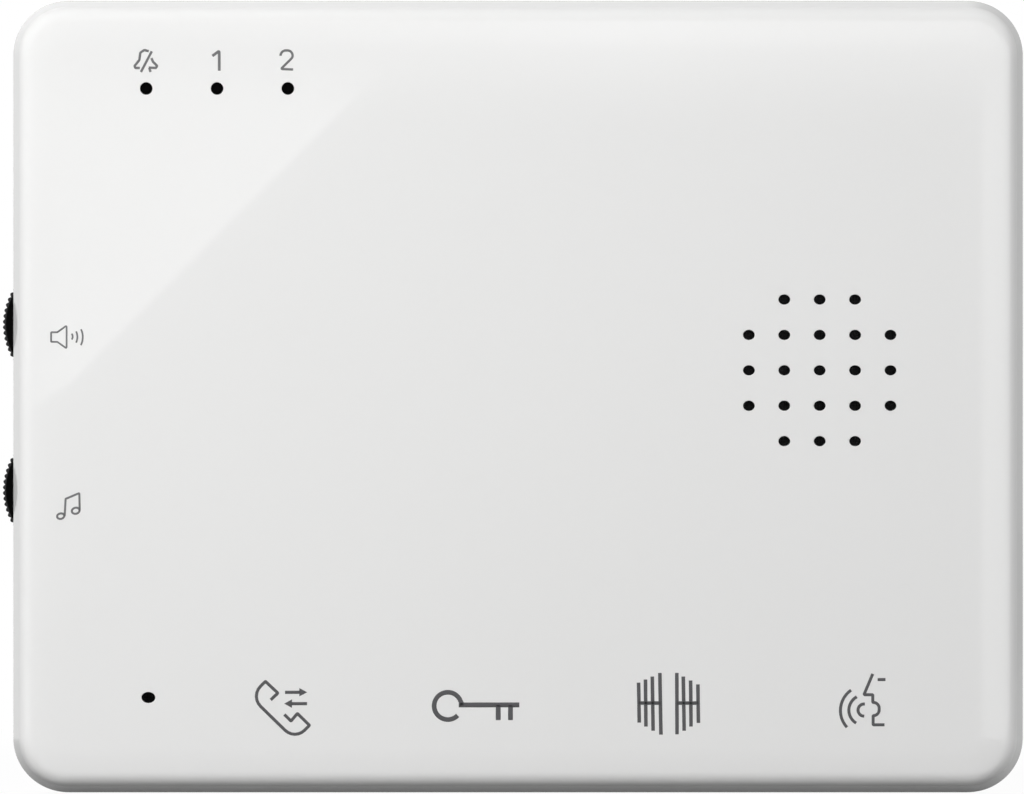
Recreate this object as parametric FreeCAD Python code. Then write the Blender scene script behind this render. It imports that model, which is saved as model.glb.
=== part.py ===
import FreeCAD, Part
import math
import os

# Hands-free wall intercom station: a moulded white case that hangs on a steel wall bracket.
# Millimetres. X runs to the right seen from the front, Z up, and the front faces -Y.
# The origin is the centre of the wall screws, on the wall.

# Case
case_width = 143.4
case_height = 112.5
case_depth = 21.0
corner_radius = 8.0
cover_wall = 2.2
side_straight = 10.0
side_draft = 17.3
side_bend_radius = 3.0
edge_radius = 2.3
crown_width = 3.5
crown_drop = 0.42
crown_radius = 30.0
inner_edge_radius = 1.5
cover_rib_thickness = 1.0
cover_rib_height = 1.5
cover_rib_reach = 64.0
cover_rib_top = 34.0
cover_rib_bottom = -30.0
cover_rib_places = (-44.0, -14.0)
seam_height = 6.0
seam_gap = 0.4

# Rear shell
shell_wall = 2.0
shell_step = 0.5
shell_taper = 1.5
shell_edge_radius = 0.6
rim_gap = 0.2
lip_height = 1.2
lip_wall = 1.4
lip_clearance = 0.25
recess_width = 108.0
recess_height = 84.0
recess_radius = 5.0
bay_width = 44.0
bay_height = 38.0
bay_radius = 2.0
bay_from_board_end = 3.1
bay_wall = 1.2
bay_clearance = 0.2
groove_width = 7.0
groove_depth = 1.0
rib_thickness = 1.2
rib_height = 2.0
rib_from_edge = 4.0
rib_from_bay = 6.0
screw_head_radius = 3.8
screw_head_height = 2.4
pocket_clearance = 0.4
pocket_wall = 1.0

# Wall bracket
plate_thickness = 1.2
plate_clearance = 1.0
seat_clearance = 0.2
plate_window_width = 60.0
plate_window_height = 44.0
plate_window_radius = 4.0
box_screw_pitch = 83.5
round_box_screw_pitch = 60.0
slot_length = 7.0
slot_width = 4.2
plug_from_recess_side = 8.0
plug_from_recess_top = 6.0
plug_hole = 4.2
hook_pitch = 60.0
hook_width = 8.0
hook_reach = 2.6
latch_reach = 1.0
hook_side_clearance = 0.4
hook_relief = 0.8
hook_bend = 0.96
slot_end_flat = 0.001

# Screws, as shares of their own size
screw_tip_taper = 0.8
screw_head_rounding = 0.6

# Case screws and their bosses
boss_inset = 9.0
boss_radius = 3.5
boss_clearance = 0.1
shell_boss_wall = 1.0
case_screw_radius = 1.45
case_screw_length = 12.0
case_head_radius = 2.75
case_head_height = 1.7
counterbore_depth = 2.2
counterbore_clearance = 0.45
screw_clearance = 0.05
through_clearance = 0.15

# Main board
board_thickness = 1.6
board_back_space = 4.0
board_side_gap = 0.85
board_end_gap = 3.2
board_notch_gap = 1.4
board_radius = 1.5
post_radius = 3.0
post_from_wheel = 9.0
post_inset = 6.0
small_screw_radius = 1.1
small_screw_length = 7.0
small_head_radius = 2.1
small_head_height = 1.4

# Volume wheels and their potentiometers
wheel_radius = 9.5
wheel_thickness = 2.8
wheel_reach = 1.25
wheel_teeth = 72
tooth_depth = 0.3
wheel_dish_radius = 6.8
wheel_dish_depth = 0.8
wheel_bevel = 0.35
wheel_slot_gap = 0.4
speech_wheel_z = 10.2
ring_wheel_z = -13.25
wheel_travel = 135.0
pot_side = 9.4
pot_height = 3.0
pot_floor = 1.0
pot_wall = 0.8
pot_corner = 0.6
pot_plate = 0.4
pot_gap = 0.3
pot_pin_pitch = 2.5
pot_pin_width = 0.8
pot_pin_length = 1.6
pot_pin_thickness = 0.3
rotor_thickness = 0.6
rotor_clearance = 0.1
pivot_radius = 1.0
lug_clearance = 1.4
running_clearance = 0.05
shaft_radius = 1.7
shaft_flat = 1.2
lug_half_angle = 12.0
stop_clear_angle = 1.0
wheel_screw_radius = 0.8
wheel_screw_length = 3.0
wheel_head_radius = 1.9
wheel_head_height = 1.2

# Indicators
lamp_from_left = 19.2
lamp_from_top = 12.75
lamp_pitch = 10.0
lamp_hole_radius = 0.84
guide_clearance = 0.05
guide_recess = 0.5
guide_bar_height = 3.6
guide_bar_thickness = 1.2
guide_bar_corner = 1.2
guide_leg_radius = 1.3
guide_lamp_gap = 0.2
stake_radius = 0.6
lamp_side = 1.6
lamp_height = 0.8
lamp_corner = 0.2

# Microphone
mic_from_left = 19.5
mic_from_bottom = 13.75
mic_hole_width = 1.8
mic_hole_height = 1.42
mic_radius = 3.0
mic_height = 2.7
boot_wall = 2.0
boot_floor = 1.2
boot_height = 5.0
boot_rounding = 0.6
can_rounding = 0.3
ring_wall = 1.0
ring_clearance = 0.1
mic_port_margin = 0.3
mic_pin_radius = 0.3
mic_pin_pitch = 2.54

# Loudspeaker
speaker_from_right = 29.1
speaker_z = 3.7
speaker_radius = 20.0
sound_hole_width = 1.46
sound_hole_height = 1.27
sound_hole_pitch = 5.0
cloth_radius = 14.0
cloth_thickness = 0.2
gasket_thickness = 0.8
gasket_width = 2.2
basket_flange = 3.2
basket_sheet = 0.7
basket_depth = 5.0
basket_seat_margin = 0.5
basket_window_count = 4
basket_window_angle = 50.0
basket_window_margin = 0.8
cone_paper = 0.4
cone_depth = 3.4
cone_edge_width = 4.2
cone_edge_gap = 0.2
coil_radius = 5.0
coil_gap = 0.5
coil_overhang = 0.4
dome_height = 1.8
magnet_radius = 10.0
magnet_bore_margin = 1.0
pole_plate = 1.2
magnet_height = 3.0
speaker_ring_height = 4.0
clamp_length = 58.0
clamp_width = 9.0
clamp_thickness = 0.8
clamp_radius = 2.0
clamp_hole_inset = 4.0

# Touch keys
key_count = 4
first_key_from_left = 38.4
last_key_from_right = 23.05
key_from_bottom = 12.55
touch_margin = 9.0
touch_height = 13.5
touch_thickness = 1.0
touch_corner = 1.0
tape_thickness = 0.2
pad_radius = 5.5
pad_thickness = 0.1
pad_clearance = 0.6
header_pin_count = 5
header_pitch = 2.54
header_base = 2.5
header_gap = 0.1

# Loudspeaker leads and plug
tag_length = 5.2
tag_width = 1.7
tag_thickness = 0.8
tag_from_edge = 0.4
lead_radius = 0.5
lead_pitch = 2.5
lead_bend = 2.0
socket_length = 7.0
socket_width = 6.8
socket_height = 4.0
socket_wall = 0.7
plug_clearance = 0.1
plug_overhang = 1.2
socket_from_edge = 2.0

# Parts on the front of the main board
capacitor_count = 3
capacitor_pitch = 8.0
capacitor_radius = 3.15
capacitor_height = 7.5
capacitor_groove = 0.3
capacitor_foot = 1.5
capacitor_x = -38.0
capacitor_z = 24.0
choke_radius = 5.0
choke_height = 7.0
choke_flange = 1.0
choke_core_radius = 2.4
choke_winding_depth = 0.5
choke_x = -6.0
choke_z = 26.0
chip_pitch = 1.27
chip_width = 7.5
chip_height = 2.3
chip_standoff = 0.1
chip_leg_width = 0.45
chip_leg_thickness = 0.2
chip_leg_reach = 1.4
chip_z = 4.0
chip_pin_count = {"audio": 16, "control": 20}
chip_x = {"audio": -30.0, "control": -10.0}

# Terminal block and code switch, on the back of the board inside the bay
terminal_count = 6
terminal_pitch = 5.0
terminal_depth = 8.2
terminal_height = 6.4
terminal_side_gap = 1.0
terminal_slope_height = 2.4
terminal_slope_depth = 1.8
chamber_width = 4.0
chamber_height = 2.8
chamber_depth = 6.0
chamber_floor = 0.7
chamber_roof = 0.5
cage_inset = 1.0
cage_wall = 0.4
cage_top = 0.6
cage_clearance = 0.1
terminal_head_radius = 1.5
terminal_head_height = 1.2
terminal_shank_radius = 1.0
terminal_screw_length = 2.0
terminal_well_clearance = 0.15
screw_slot_width = 0.5
screw_slot_depth = 0.6
switch_count = 8
switch_pitch = 2.54
switch_margin = 0.6
switch_depth = 9.9
switch_height = 4.2
switch_top_gap = 1.2
switch_from_bay_side = 7.2
lever_width = 1.2
lever_length = 1.7
lever_travel = 2.1
lever_rise = 0.5
lever_neck = 0.8
lever_foot_height = 0.8
lever_foot_width = 1.7
lever_clearance = 0.1
jumper_pin_count = 3
jumper_pitch = 2.54
jumper_base_height = 2.5
jumper_pin_side = 0.64
jumper_pin_rise = 3.0
jumper_cap_height = 3.6
jumper_clearance = 0.1
jumper_from_bay_side = 7.0

# Levels along Y, from the wall to the front face
front_y = -case_depth
front_inside_y = front_y + cover_wall
seam_y = -seam_height
shoulder_y = seam_y + seam_gap
rim_y = -rim_gap
floor_outside_y = -plate_thickness - seat_clearance
floor_inside_y = floor_outside_y - shell_wall
rim_inside_y = rim_y - shell_wall
counterbore_y = rim_y - counterbore_depth
shell_boss_y = counterbore_y - shell_wall
board_back_y = floor_inside_y - board_back_space
board_front_y = board_back_y - board_thickness
pot_front_y = board_front_y - pot_height
wheel_back_y = pot_front_y - pot_gap
wheel_front_y = wheel_back_y - wheel_thickness
hub_front_y = wheel_front_y + wheel_dish_depth
touch_front_y = front_inside_y + tape_thickness
touch_back_y = touch_front_y + touch_thickness
speaker_front_y = front_inside_y + gasket_thickness
basket_back_y = speaker_front_y + basket_depth
front_plate_y = basket_back_y + pole_plate
magnet_back_y = front_plate_y + magnet_height
yoke_back_y = magnet_back_y + pole_plate
clamp_back_y = yoke_back_y + clamp_thickness
bar_front_y = front_inside_y
bar_back_y = bar_front_y + guide_bar_thickness
lamp_front_y = board_front_y - lamp_height
boot_back_y = front_inside_y + boot_height
capsule_front_y = front_inside_y + boot_floor
capsule_back_y = capsule_front_y + mic_height


def row(middle, count, pitch):
    """Evenly spaced places, centred on the middle."""
    return [middle + (i - (count - 1) / 2) * pitch for i in range(count)]


# Places seen from the front
right_x = case_width / 2
left_x = -case_width / 2
top_z = case_height / 2
bottom_z = -case_height / 2
draft_inset = (case_depth - seam_height - side_straight) * math.tan(math.radians(side_draft))
boss_x = right_x - boss_inset
boss_z = top_z - boss_inset
boss_places = [(x, z) for x in (-boss_x, boss_x) for z in (-boss_z, boss_z)]
wheel_x = left_x - wheel_reach + wheel_radius
wheel_places = {"speech": speech_wheel_z, "ring": ring_wheel_z}
lamp_places = [(left_x + lamp_from_left + lamp_pitch * i, top_z - lamp_from_top) for i in range(3)]
mic_x = left_x + mic_from_left
mic_z = bottom_z + mic_from_bottom
speaker_x = right_x - speaker_from_right
speaker_ring_radius = speaker_radius + ring_clearance
key_z = bottom_z + key_from_bottom
first_key_x = left_x + first_key_from_left
last_key_x = right_x - last_key_from_right
key_places = row((first_key_x + last_key_x) / 2, key_count, (last_key_x - first_key_x) / (key_count - 1))
board_left = left_x + cover_wall + board_side_gap
board_right = speaker_x - speaker_ring_radius - ring_wall - board_notch_gap
board_top = top_z - cover_wall - board_end_gap
board_bottom = -board_top
touch_left = key_places[0] - touch_margin
touch_right = key_places[-1] + touch_margin
touch_top = key_z + touch_height / 2
post_left = board_left + post_inset
post_right = board_right - post_inset
post_places = [
    (post_left, speech_wheel_z + wheel_radius + post_from_wheel),
    (post_left, ring_wheel_z - wheel_radius - post_from_wheel),
    (post_right, board_top - post_inset),
    (post_right, touch_top + post_inset),
]
clamp_places = [(speaker_x, speaker_z + s * (clamp_length / 2 - clamp_hole_inset)) for s in (-1, 1)]
bay_x = board_right - bay_from_board_end - bay_width / 2
bay_left = bay_x - bay_width / 2
bay_top = bay_height / 2
terminal_low_z = -bay_top + terminal_side_gap
terminal_places = row(bay_x, terminal_count, terminal_pitch)
switch_z = bay_top - switch_top_gap - switch_depth / 2
switch_length = switch_count * switch_pitch + 2 * switch_margin
switch_x = bay_left + switch_from_bay_side + switch_length / 2
lever_places = row(switch_x, switch_count, switch_pitch)
switch_back_y = board_back_y + switch_height
jumper_x = bay_left + bay_width - jumper_from_bay_side
jumper_base_y = board_back_y + jumper_base_height
socket_right = board_right - socket_from_edge
socket_left = socket_right - socket_length
socket_front_y = board_front_y - socket_height
plug_middle_y = board_front_y - socket_height / 2


def point(x=0.0, y=0.0, z=0.0):
    return FreeCAD.Vector(x, y, z)


Y_AXIS = point(0, 1)
ORIGIN = point(0, 0)


def rounded_path(points, radii):
    """Straight runs through the points, with an arc of the given radius at each inner point."""
    edges = []
    start = points[0]
    for before, corner, after, radius in zip(points, points[1:], points[2:], radii):
        leave = corner
        enter = corner
        if radius > 0:
            back = (before - corner).normalize()
            ahead = (after - corner).normalize()
            half = back.getAngle(ahead) / 2
            enter = corner + back * (radius / math.tan(half))
            leave = corner + ahead * (radius / math.tan(half))
            centre = corner + (back + ahead).normalize() * (radius / math.sin(half))
            middle = centre + (corner - centre).normalize() * radius
        edges.append(Part.makeLine(start, enter))
        if radius > 0:
            edges.append(Part.Arc(enter, middle, leave).toShape())
        start = leave
    edges.append(Part.makeLine(start, points[-1]))
    return edges


def closed_face(points, radii=None):
    """A flat face inside the points. Radii, where given, round every point but the first."""
    if radii is None:
        radii = [0] * (len(points) - 1)
    return Part.Face(Part.Wire(rounded_path(points + [points[0]], radii)))


def fused(shapes):
    """One solid from several that touch or overlap."""
    return shapes[0].multiFuse(shapes[1:]).removeSplitter() if len(shapes) > 1 else shapes[0]


def moulded_box(width, height, radius, profile):
    """A box with rounded corners seen along Y, whose four sides share one profile.
    The profile's points are (outwards from the corner's centre, y), its first two on the centre line."""
    points, radii = profile
    face = closed_face([point(u, y) for u, y in points], radii)
    low = min(y for u, y in points if u == 0)
    high = max(y for u, y in points if u == 0)
    half_x = width / 2 - radius
    half_z = height / 2 - radius
    pieces = [Part.makeBox(2 * half_x, high - low, 2 * half_z, point(-half_x, low, -half_z))]
    for quarter in range(4):
        reach, span = (half_x, half_z) if quarter % 2 == 0 else (half_z, half_x)
        side = face.copy()
        side.translate(point(reach, 0, -span))
        side = side.extrude(point(0, 0, 2 * span))
        corner = face.revolve(ORIGIN, Y_AXIS, -90)
        corner.translate(point(reach, 0, span))
        for piece in (side, corner):
            piece.rotate(ORIGIN, Y_AXIS, -90 * quarter)
            pieces.append(piece)
    return fused(pieces)


def slab(width, height, radius, y0, y1, x=0.0, z=0.0):
    """A flat plate between two levels, with rounded corners seen along Y."""
    half_x = width / 2
    half_z = height / 2
    points = [point(x, y0, z - half_z), point(x + half_x, y0, z - half_z), point(x + half_x, y0, z + half_z),
              point(x - half_x, y0, z + half_z), point(x - half_x, y0, z - half_z)]
    return closed_face(points, [radius] * 4).extrude(point(0, y1 - y0))


def block(x0, x1, y0, y1, z0, z1):
    return Part.makeBox(x1 - x0, y1 - y0, z1 - z0, point(x0, y0, z0))


def rod(radius, y0, y1, x=0.0, z=0.0):
    """A round bar along Y."""
    return Part.makeCylinder(radius, y1 - y0, point(x, y0, z), Y_AXIS)


def tube(outer, inner, y0, y1, x=0.0, z=0.0):
    return rod(outer, y0, y1, x, z).cut(rod(inner, y0, y1, x, z))


def oval(width, height, y0, y1, x, z):
    """An oval bar along Y, wider than it is high."""
    outline = Part.Ellipse(ORIGIN, width / 2, height / 2).toShape()
    outline.rotate(ORIGIN, point(1, 0), 90)
    outline.translate(point(x, y0, z))
    return Part.Face(Part.Wire(outline)).extrude(point(0, y1 - y0))


def turned(points, radii=None, x=0.0, z=0.0):
    """A solid of revolution about a line along Y, from points (radius, y)."""
    shape = closed_face([point(u, y) for u, y in points], radii).revolve(ORIGIN, Y_AXIS, 360)
    shape.translate(point(x, 0, z))
    return shape


def sector(outer, inner, y0, y1, middle_angle, half_angle):
    """Part of a ring round the Y axis, centred on an angle measured from +X towards +Z."""
    face = closed_face([point(inner, y0), point(outer, y0), point(outer, y1), point(inner, y1)])
    face.rotate(ORIGIN, Y_AXIS, -(middle_angle - half_angle))
    return face.revolve(ORIGIN, Y_AXIS, -2 * half_angle)


def moved(shape, x=0.0, y=0.0, z=0.0):
    copy = shape.copy()
    copy.translate(point(x, y, z))
    return copy


def pan_screw(head_radius, head_height, shank_radius, length, seat_y, x, z, direction=1):
    """A pan-head screw. The head lies on its seat, on the side that direction points to."""
    tip = shank_radius * screw_tip_taper
    points = [(0, head_height), (head_radius, head_height), (head_radius, 0), (shank_radius, 0),
              (shank_radius, tip - length), (0, -length)]
    rounding = [head_height * screw_head_rounding, 0, 0, 0, 0]
    shape = turned([(u, y) for u, y in points], rounding)
    if direction < 0:
        shape.rotate(ORIGIN, point(1, 0), 180)
    shape.translate(point(x, seat_y, z))
    return shape


def front_cover():
    bend_y = seam_y - side_straight
    rim_y = front_y + crown_drop
    outer_profile = (
        [(0, front_y), (0, seam_y), (corner_radius, seam_y), (corner_radius, bend_y),
         (corner_radius - draft_inset, rim_y),
         (corner_radius - draft_inset - crown_width, front_y)],
        [0, 0, side_bend_radius, edge_radius, crown_radius],
    )
    inner_radius = corner_radius - cover_wall
    inner_draft = draft_inset * (bend_y - front_inside_y) / (bend_y - rim_y)
    inner_profile = (
        [(0, front_inside_y), (0, seam_y), (inner_radius, seam_y), (inner_radius, bend_y),
         (inner_radius - inner_draft, front_inside_y)],
        [0, 0, 0, inner_edge_radius],
    )
    shell = moulded_box(case_width, case_height, corner_radius, outer_profile)
    hollow = moulded_box(case_width - 2 * cover_wall, case_height - 2 * cover_wall, inner_radius,
                         inner_profile)
    shell = shell.cut(hollow)

    inside = [rod(boss_radius, front_inside_y, shell_boss_y - boss_clearance, x, z) for x, z in boss_places]
    inside += [rod(post_radius, front_inside_y, board_front_y, x, z) for x, z in post_places]
    inside += [rod(post_radius, front_inside_y, yoke_back_y, x, z) for x, z in clamp_places]
    ring_top_y = front_inside_y + speaker_ring_height
    inside.append(tube(speaker_ring_radius + ring_wall, speaker_ring_radius, front_inside_y, ring_top_y,
                       speaker_x, speaker_z))
    boot_ring = mic_radius + boot_wall + ring_clearance
    inside.append(tube(boot_ring + ring_wall, boot_ring, front_inside_y, boot_back_y - ring_wall,
                       mic_x, mic_z))
    inside += [rod(stake_radius, front_inside_y, bar_back_y + stake_radius, x, z) for x, z in stake_places()]
    shell = fused([shell] + inside + cover_ribs())

    holes = [rod(lamp_hole_radius, front_y, front_inside_y, x, z) for x, z in lamp_places]
    holes.append(oval(mic_hole_width, mic_hole_height, front_y, front_inside_y, mic_x, mic_z))
    holes += [oval(sound_hole_width, sound_hole_height, front_y, front_inside_y, x, z)
              for x, z in sound_holes()]
    for z in wheel_places.values():
        holes.append(rod(wheel_radius + wheel_slot_gap, wheel_front_y - wheel_slot_gap,
                         wheel_back_y + wheel_slot_gap, wheel_x, z))
    boss_top = shell_boss_y - boss_clearance
    for x, z in boss_places:
        holes.append(rod(case_screw_radius + screw_clearance, boss_top - case_screw_length, boss_top, x, z))
    pilot = small_screw_radius + screw_clearance
    holes += [rod(pilot, board_front_y - small_screw_length, board_front_y, x, z) for x, z in post_places]
    holes += [rod(pilot, yoke_back_y - small_screw_length, yoke_back_y, x, z) for x, z in clamp_places]
    return shell.cut(holes)


def cover_ribs():
    """Low ribs behind the front, clear of the loudspeaker's ring."""
    half = cover_rib_thickness / 2
    front = front_inside_y
    back = front_inside_y + cover_rib_height
    right = speaker_x - speaker_ring_radius
    ribs = [block(-cover_rib_reach, right, front, back, z - half, z + half)
            for z in (cover_rib_top, cover_rib_bottom)]
    return ribs + [block(x - half, x + half, front, back, cover_rib_bottom, cover_rib_top)
                   for x in cover_rib_places]


def sound_holes():
    """Rows of three and five holes that fill a circle."""
    places = []
    for row in range(-2, 3):
        for column in range(-2, 3):
            if abs(row) + abs(column) < 4:
                places.append((speaker_x + column * sound_hole_pitch, speaker_z + row * sound_hole_pitch))
    return places


def stake_places():
    return [((a[0] + b[0]) / 2, a[1]) for a, b in zip(lamp_places, lamp_places[1:])]


def rear_shell():
    radius = corner_radius - shell_step
    profile = (
        [(0, shoulder_y), (0, rim_y), (radius - shell_taper, rim_y), (radius, shoulder_y)],
        [0, shell_edge_radius, 0],
    )
    width = case_width - 2 * shell_step
    height = case_height - 2 * shell_step
    shell = moulded_box(width, height, radius, profile)
    lip_inset = cover_wall + lip_clearance
    lip_width = case_width - 2 * lip_inset
    lip_outer_height = case_height - 2 * lip_inset
    lip_radius = corner_radius - lip_inset
    lip_y = seam_y - lip_height
    lip = slab(lip_width, lip_outer_height, lip_radius, lip_y, shoulder_y)
    hollow = slab(lip_width - 2 * lip_wall, lip_outer_height - 2 * lip_wall, lip_radius - lip_wall, lip_y,
                  rim_inside_y)
    shell = fused([shell, lip]).cut(hollow)

    tub = slab(recess_width + 2 * shell_wall, recess_height + 2 * shell_wall, recess_radius + shell_wall,
               floor_inside_y, rim_inside_y)
    collar_y = board_back_y + bay_clearance
    collar = slab(bay_width + 2 * bay_wall, bay_height + 2 * bay_wall, bay_radius + bay_wall, collar_y,
                  floor_inside_y, bay_x)
    well_radius = case_head_radius + counterbore_clearance
    bosses = [rod(well_radius + shell_boss_wall, shell_boss_y, rim_inside_y, x, z) for x, z in boss_places]
    pockets = screw_pockets(pocket_wall, pocket_y() - pocket_wall, floor_inside_y)
    shell = fused([shell, tub, collar] + bosses + shell_ribs() + pockets)

    cutters = screw_pockets(0, pocket_y(), floor_outside_y)
    cutters += [slab(recess_width, recess_height, recess_radius, floor_outside_y, rim_y),
                slab(bay_width, bay_height, bay_radius, collar_y, floor_outside_y, bay_x)]
    for x, z in boss_places:
        cutters.append(rod(well_radius, counterbore_y, rim_y, x, z))
        cutters.append(rod(case_screw_radius + through_clearance, shell_boss_y, counterbore_y, x, z))
    slot_half = hook_width / 2 + hook_side_clearance
    for x in (-hook_pitch / 2, hook_pitch / 2):
        upper = hook_leg_z() + plate_thickness + seat_clearance
        lower = upper - hook_reach - plate_thickness - 2 * hook_side_clearance
        cutters.append(block(x - slot_half, x + slot_half, floor_inside_y, floor_outside_y, lower, upper))
        cutters.append(block(x - slot_half, x + slot_half, floor_inside_y, floor_outside_y, -upper, -lower))
        cutters.append(block(x - groove_width / 2, x + groove_width / 2, rim_y - groove_depth, rim_y,
                             bottom_z, -recess_height / 2))
    return shell.cut(cutters)


def pocket_y():
    return -plate_thickness - screw_head_height - pocket_clearance


def screw_pockets(wall, y0, y1):
    """Room in the recess floor for the heads of the wall screws, grown on all sides by a wall."""
    radius = screw_head_radius + pocket_clearance + wall
    length = 2 * radius + slot_length - slot_width
    across = box_screw_pitch / 2
    upright = round_box_screw_pitch / 2
    corner = radius - slot_end_flat
    pockets = [slab(length, 2 * radius, corner, y0, y1, x) for x in (-across, across)]
    pockets += [slab(2 * radius, length, corner, y0, y1, 0, z) for z in (-upright, upright)]
    return pockets + [rod(radius, y0, y1, x, z) for x, z in plug_places()]


def plug_places():
    half_x = recess_width / 2 - plug_from_recess_side
    half_z = recess_height / 2 - plug_from_recess_top
    return [(x, z) for x in (-half_x, half_x) for z in (-half_z, half_z)]


def shell_ribs():
    """Low ribs on the inside of the recess floor, in a frame round the bay."""
    reach_x = recess_width / 2 - rib_from_edge
    reach_z = bay_top + rib_from_bay
    half = rib_thickness / 2
    rib_y = floor_inside_y - rib_height
    ribs = [block(x - half, x + half, rib_y, floor_inside_y, -reach_z, reach_z) for x in (-reach_x, reach_x)]
    ribs += [block(-reach_x, reach_x, rib_y, floor_inside_y, z - half, z + half) for z in (-reach_z, reach_z)]
    return ribs


def hook_leg_z():
    """Height of the hooks' legs, just inside the plate's upper edge."""
    return recess_height / 2 - plate_clearance - hook_reach - plate_thickness


def hook(width, reach):
    """A tongue bent forward out of the plate, with a foot behind the shell's floor."""
    leg_z = hook_leg_z()
    foot_y = floor_inside_y - seat_clearance
    t = plate_thickness
    points = [point(0, -t / 2, leg_z), point(0, foot_y - t, leg_z), point(0, foot_y - t, leg_z + t + reach),
              point(0, foot_y, leg_z + t + reach), point(0, foot_y, leg_z + t), point(0, -t / 2, leg_z + t)]
    face = closed_face(points, [hook_bend, 0, 0, 0, 0])
    face.translate(point(-width / 2, 0))
    return face.extrude(point(width, 0))


def wall_bracket():
    plate_width = recess_width - 2 * plate_clearance
    plate_height = recess_height - 2 * plate_clearance
    plate = slab(plate_width, plate_height, recess_radius, -plate_thickness, 0)
    upper = hook(hook_width, hook_reach)
    lower = hook(hook_width, latch_reach)
    lower.rotate(ORIGIN, Y_AXIS, 180)
    tongues = [moved(piece, x) for piece in (upper, lower) for x in (-hook_pitch / 2, hook_pitch / 2)]
    plate = fused([plate] + tongues)

    cutters = [slab(plate_window_width, plate_window_height, plate_window_radius, -plate_thickness, 0)]
    leg_z = hook_leg_z()
    relief_half = hook_width / 2 + hook_relief
    for sign, reach in ((1, hook_reach), (-1, latch_reach)):
        flat_length = seat_clearance + shell_wall + seat_clearance + plate_thickness + reach
        low, high = sorted((sign * leg_z, sign * (leg_z - flat_length)))
        cutters += [block(x - relief_half, x + relief_half, -plate_thickness, 0, low, high)
                    for x in (-hook_pitch / 2, hook_pitch / 2)]
    across = box_screw_pitch / 2
    upright = round_box_screw_pitch / 2
    slot_end = slot_width / 2 - slot_end_flat
    cutters += [slab(slot_length, slot_width, slot_end, -plate_thickness, 0, x) for x in (-across, across)]
    cutters += [slab(slot_width, slot_length, slot_end, -plate_thickness, 0, 0, z)
                for z in (-upright, upright)]
    cutters += [rod(plug_hole / 2, -plate_thickness, 0, x, z) for x, z in plug_places()]
    return plate.cut(cutters)


def case_screws():
    return [pan_screw(case_head_radius, case_head_height, case_screw_radius, case_screw_length, counterbore_y,
                      x, z) for x, z in boss_places]


def main_board():
    width = board_right - board_left
    middle = (board_right + board_left) / 2
    board = slab(width, board_top - board_bottom, board_radius, board_front_y, board_back_y, middle)
    notch_x = -boss_x + boss_radius + board_notch_gap
    notch_z = boss_z - boss_radius - board_notch_gap
    cutters = [block(board_left, notch_x, board_front_y, board_back_y, notch_z, board_top),
               block(board_left, notch_x, board_front_y, board_back_y, board_bottom, -notch_z)]
    cutters += [rod(small_screw_radius + through_clearance, board_front_y, board_back_y, x, z)
                for x, z in post_places]
    return board.cut(cutters)


def small_screws():
    """Four for the main board and two for the loudspeaker's clamp."""
    seats = [(board_back_y, place) for place in post_places]
    seats += [(clamp_back_y, place) for place in clamp_places]
    return [pan_screw(small_head_radius, small_head_height, small_screw_radius, small_screw_length, y, x, z)
            for y, (x, z) in seats]


def knurled_outline(radius, teeth, depth):
    """The wheel's zigzag rim."""
    points = []
    for i in range(teeth):
        tip = 2 * math.pi * i / teeth
        root = tip + math.pi / teeth
        points.append(point(radius * math.cos(tip), 0, radius * math.sin(tip)))
        points.append(point((radius - depth) * math.cos(root), 0, (radius - depth) * math.sin(root)))
    return Part.Face(Part.makePolygon(points + [points[0]]))


def d_bar(radius, flat, y0, y1):
    """A round bar along Y with one flat side."""
    return rod(radius, y0, y1).cut(block(flat, radius + 1, y0, y1, -radius, radius))


def bevelled_disc():
    """Takes the corners off both ends of the teeth."""
    front = wheel_front_y
    back = wheel_back_y
    inner = wheel_radius - wheel_bevel
    outer = wheel_radius + tooth_depth
    bevel = wheel_bevel + tooth_depth
    return turned([(0, front), (inner, front), (outer, front + bevel), (outer, back - bevel), (inner, back),
                   (0, back)])


def volume_wheel(z):
    rim = knurled_outline(wheel_radius, wheel_teeth, tooth_depth)
    rim.translate(point(0, wheel_front_y))
    wheel = rim.extrude(point(0, wheel_thickness)).common(bevelled_disc())
    dish = rod(wheel_dish_radius, wheel_front_y, hub_front_y)
    bore = d_bar(shaft_radius + running_clearance, shaft_flat + running_clearance, hub_front_y, wheel_back_y)
    return moved(wheel.cut([dish, bore]), wheel_x, 0, z)


def pot_levels():
    """The well's floor, and the two faces of the rotor's disc."""
    disc_front_y = pot_front_y + pot_plate + rotor_clearance
    return board_front_y - pot_floor, disc_front_y, disc_front_y + rotor_thickness


def pot_base(z):
    well_y, disc_front_y, disc_back_y = pot_levels()
    plate_y = pot_front_y + pot_plate
    well_radius = pot_side / 2 - pot_wall
    base = slab(pot_side, pot_side, pot_corner, plate_y, board_front_y)
    base = base.cut([rod(well_radius, plate_y, well_y),
                     rod(pivot_radius + running_clearance, well_y, board_front_y)])
    stop_half = 180 - wheel_travel - lug_half_angle - stop_clear_angle
    stop_inner = pivot_radius + lug_clearance
    stop = sector(well_radius + pot_wall / 2, stop_inner, disc_back_y + rotor_clearance, well_y, 0, stop_half)
    return moved(fused([base, stop]), wheel_x, 0, z)


def pot_cover(z):
    """Thin plate that holds the rotor in."""
    cover = slab(pot_side, pot_side, pot_corner, pot_front_y, pot_front_y + pot_plate)
    return moved(cover.cut(rod(shaft_radius + pot_gap, pot_front_y, pot_front_y + pot_plate)), wheel_x, 0, z)


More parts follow.
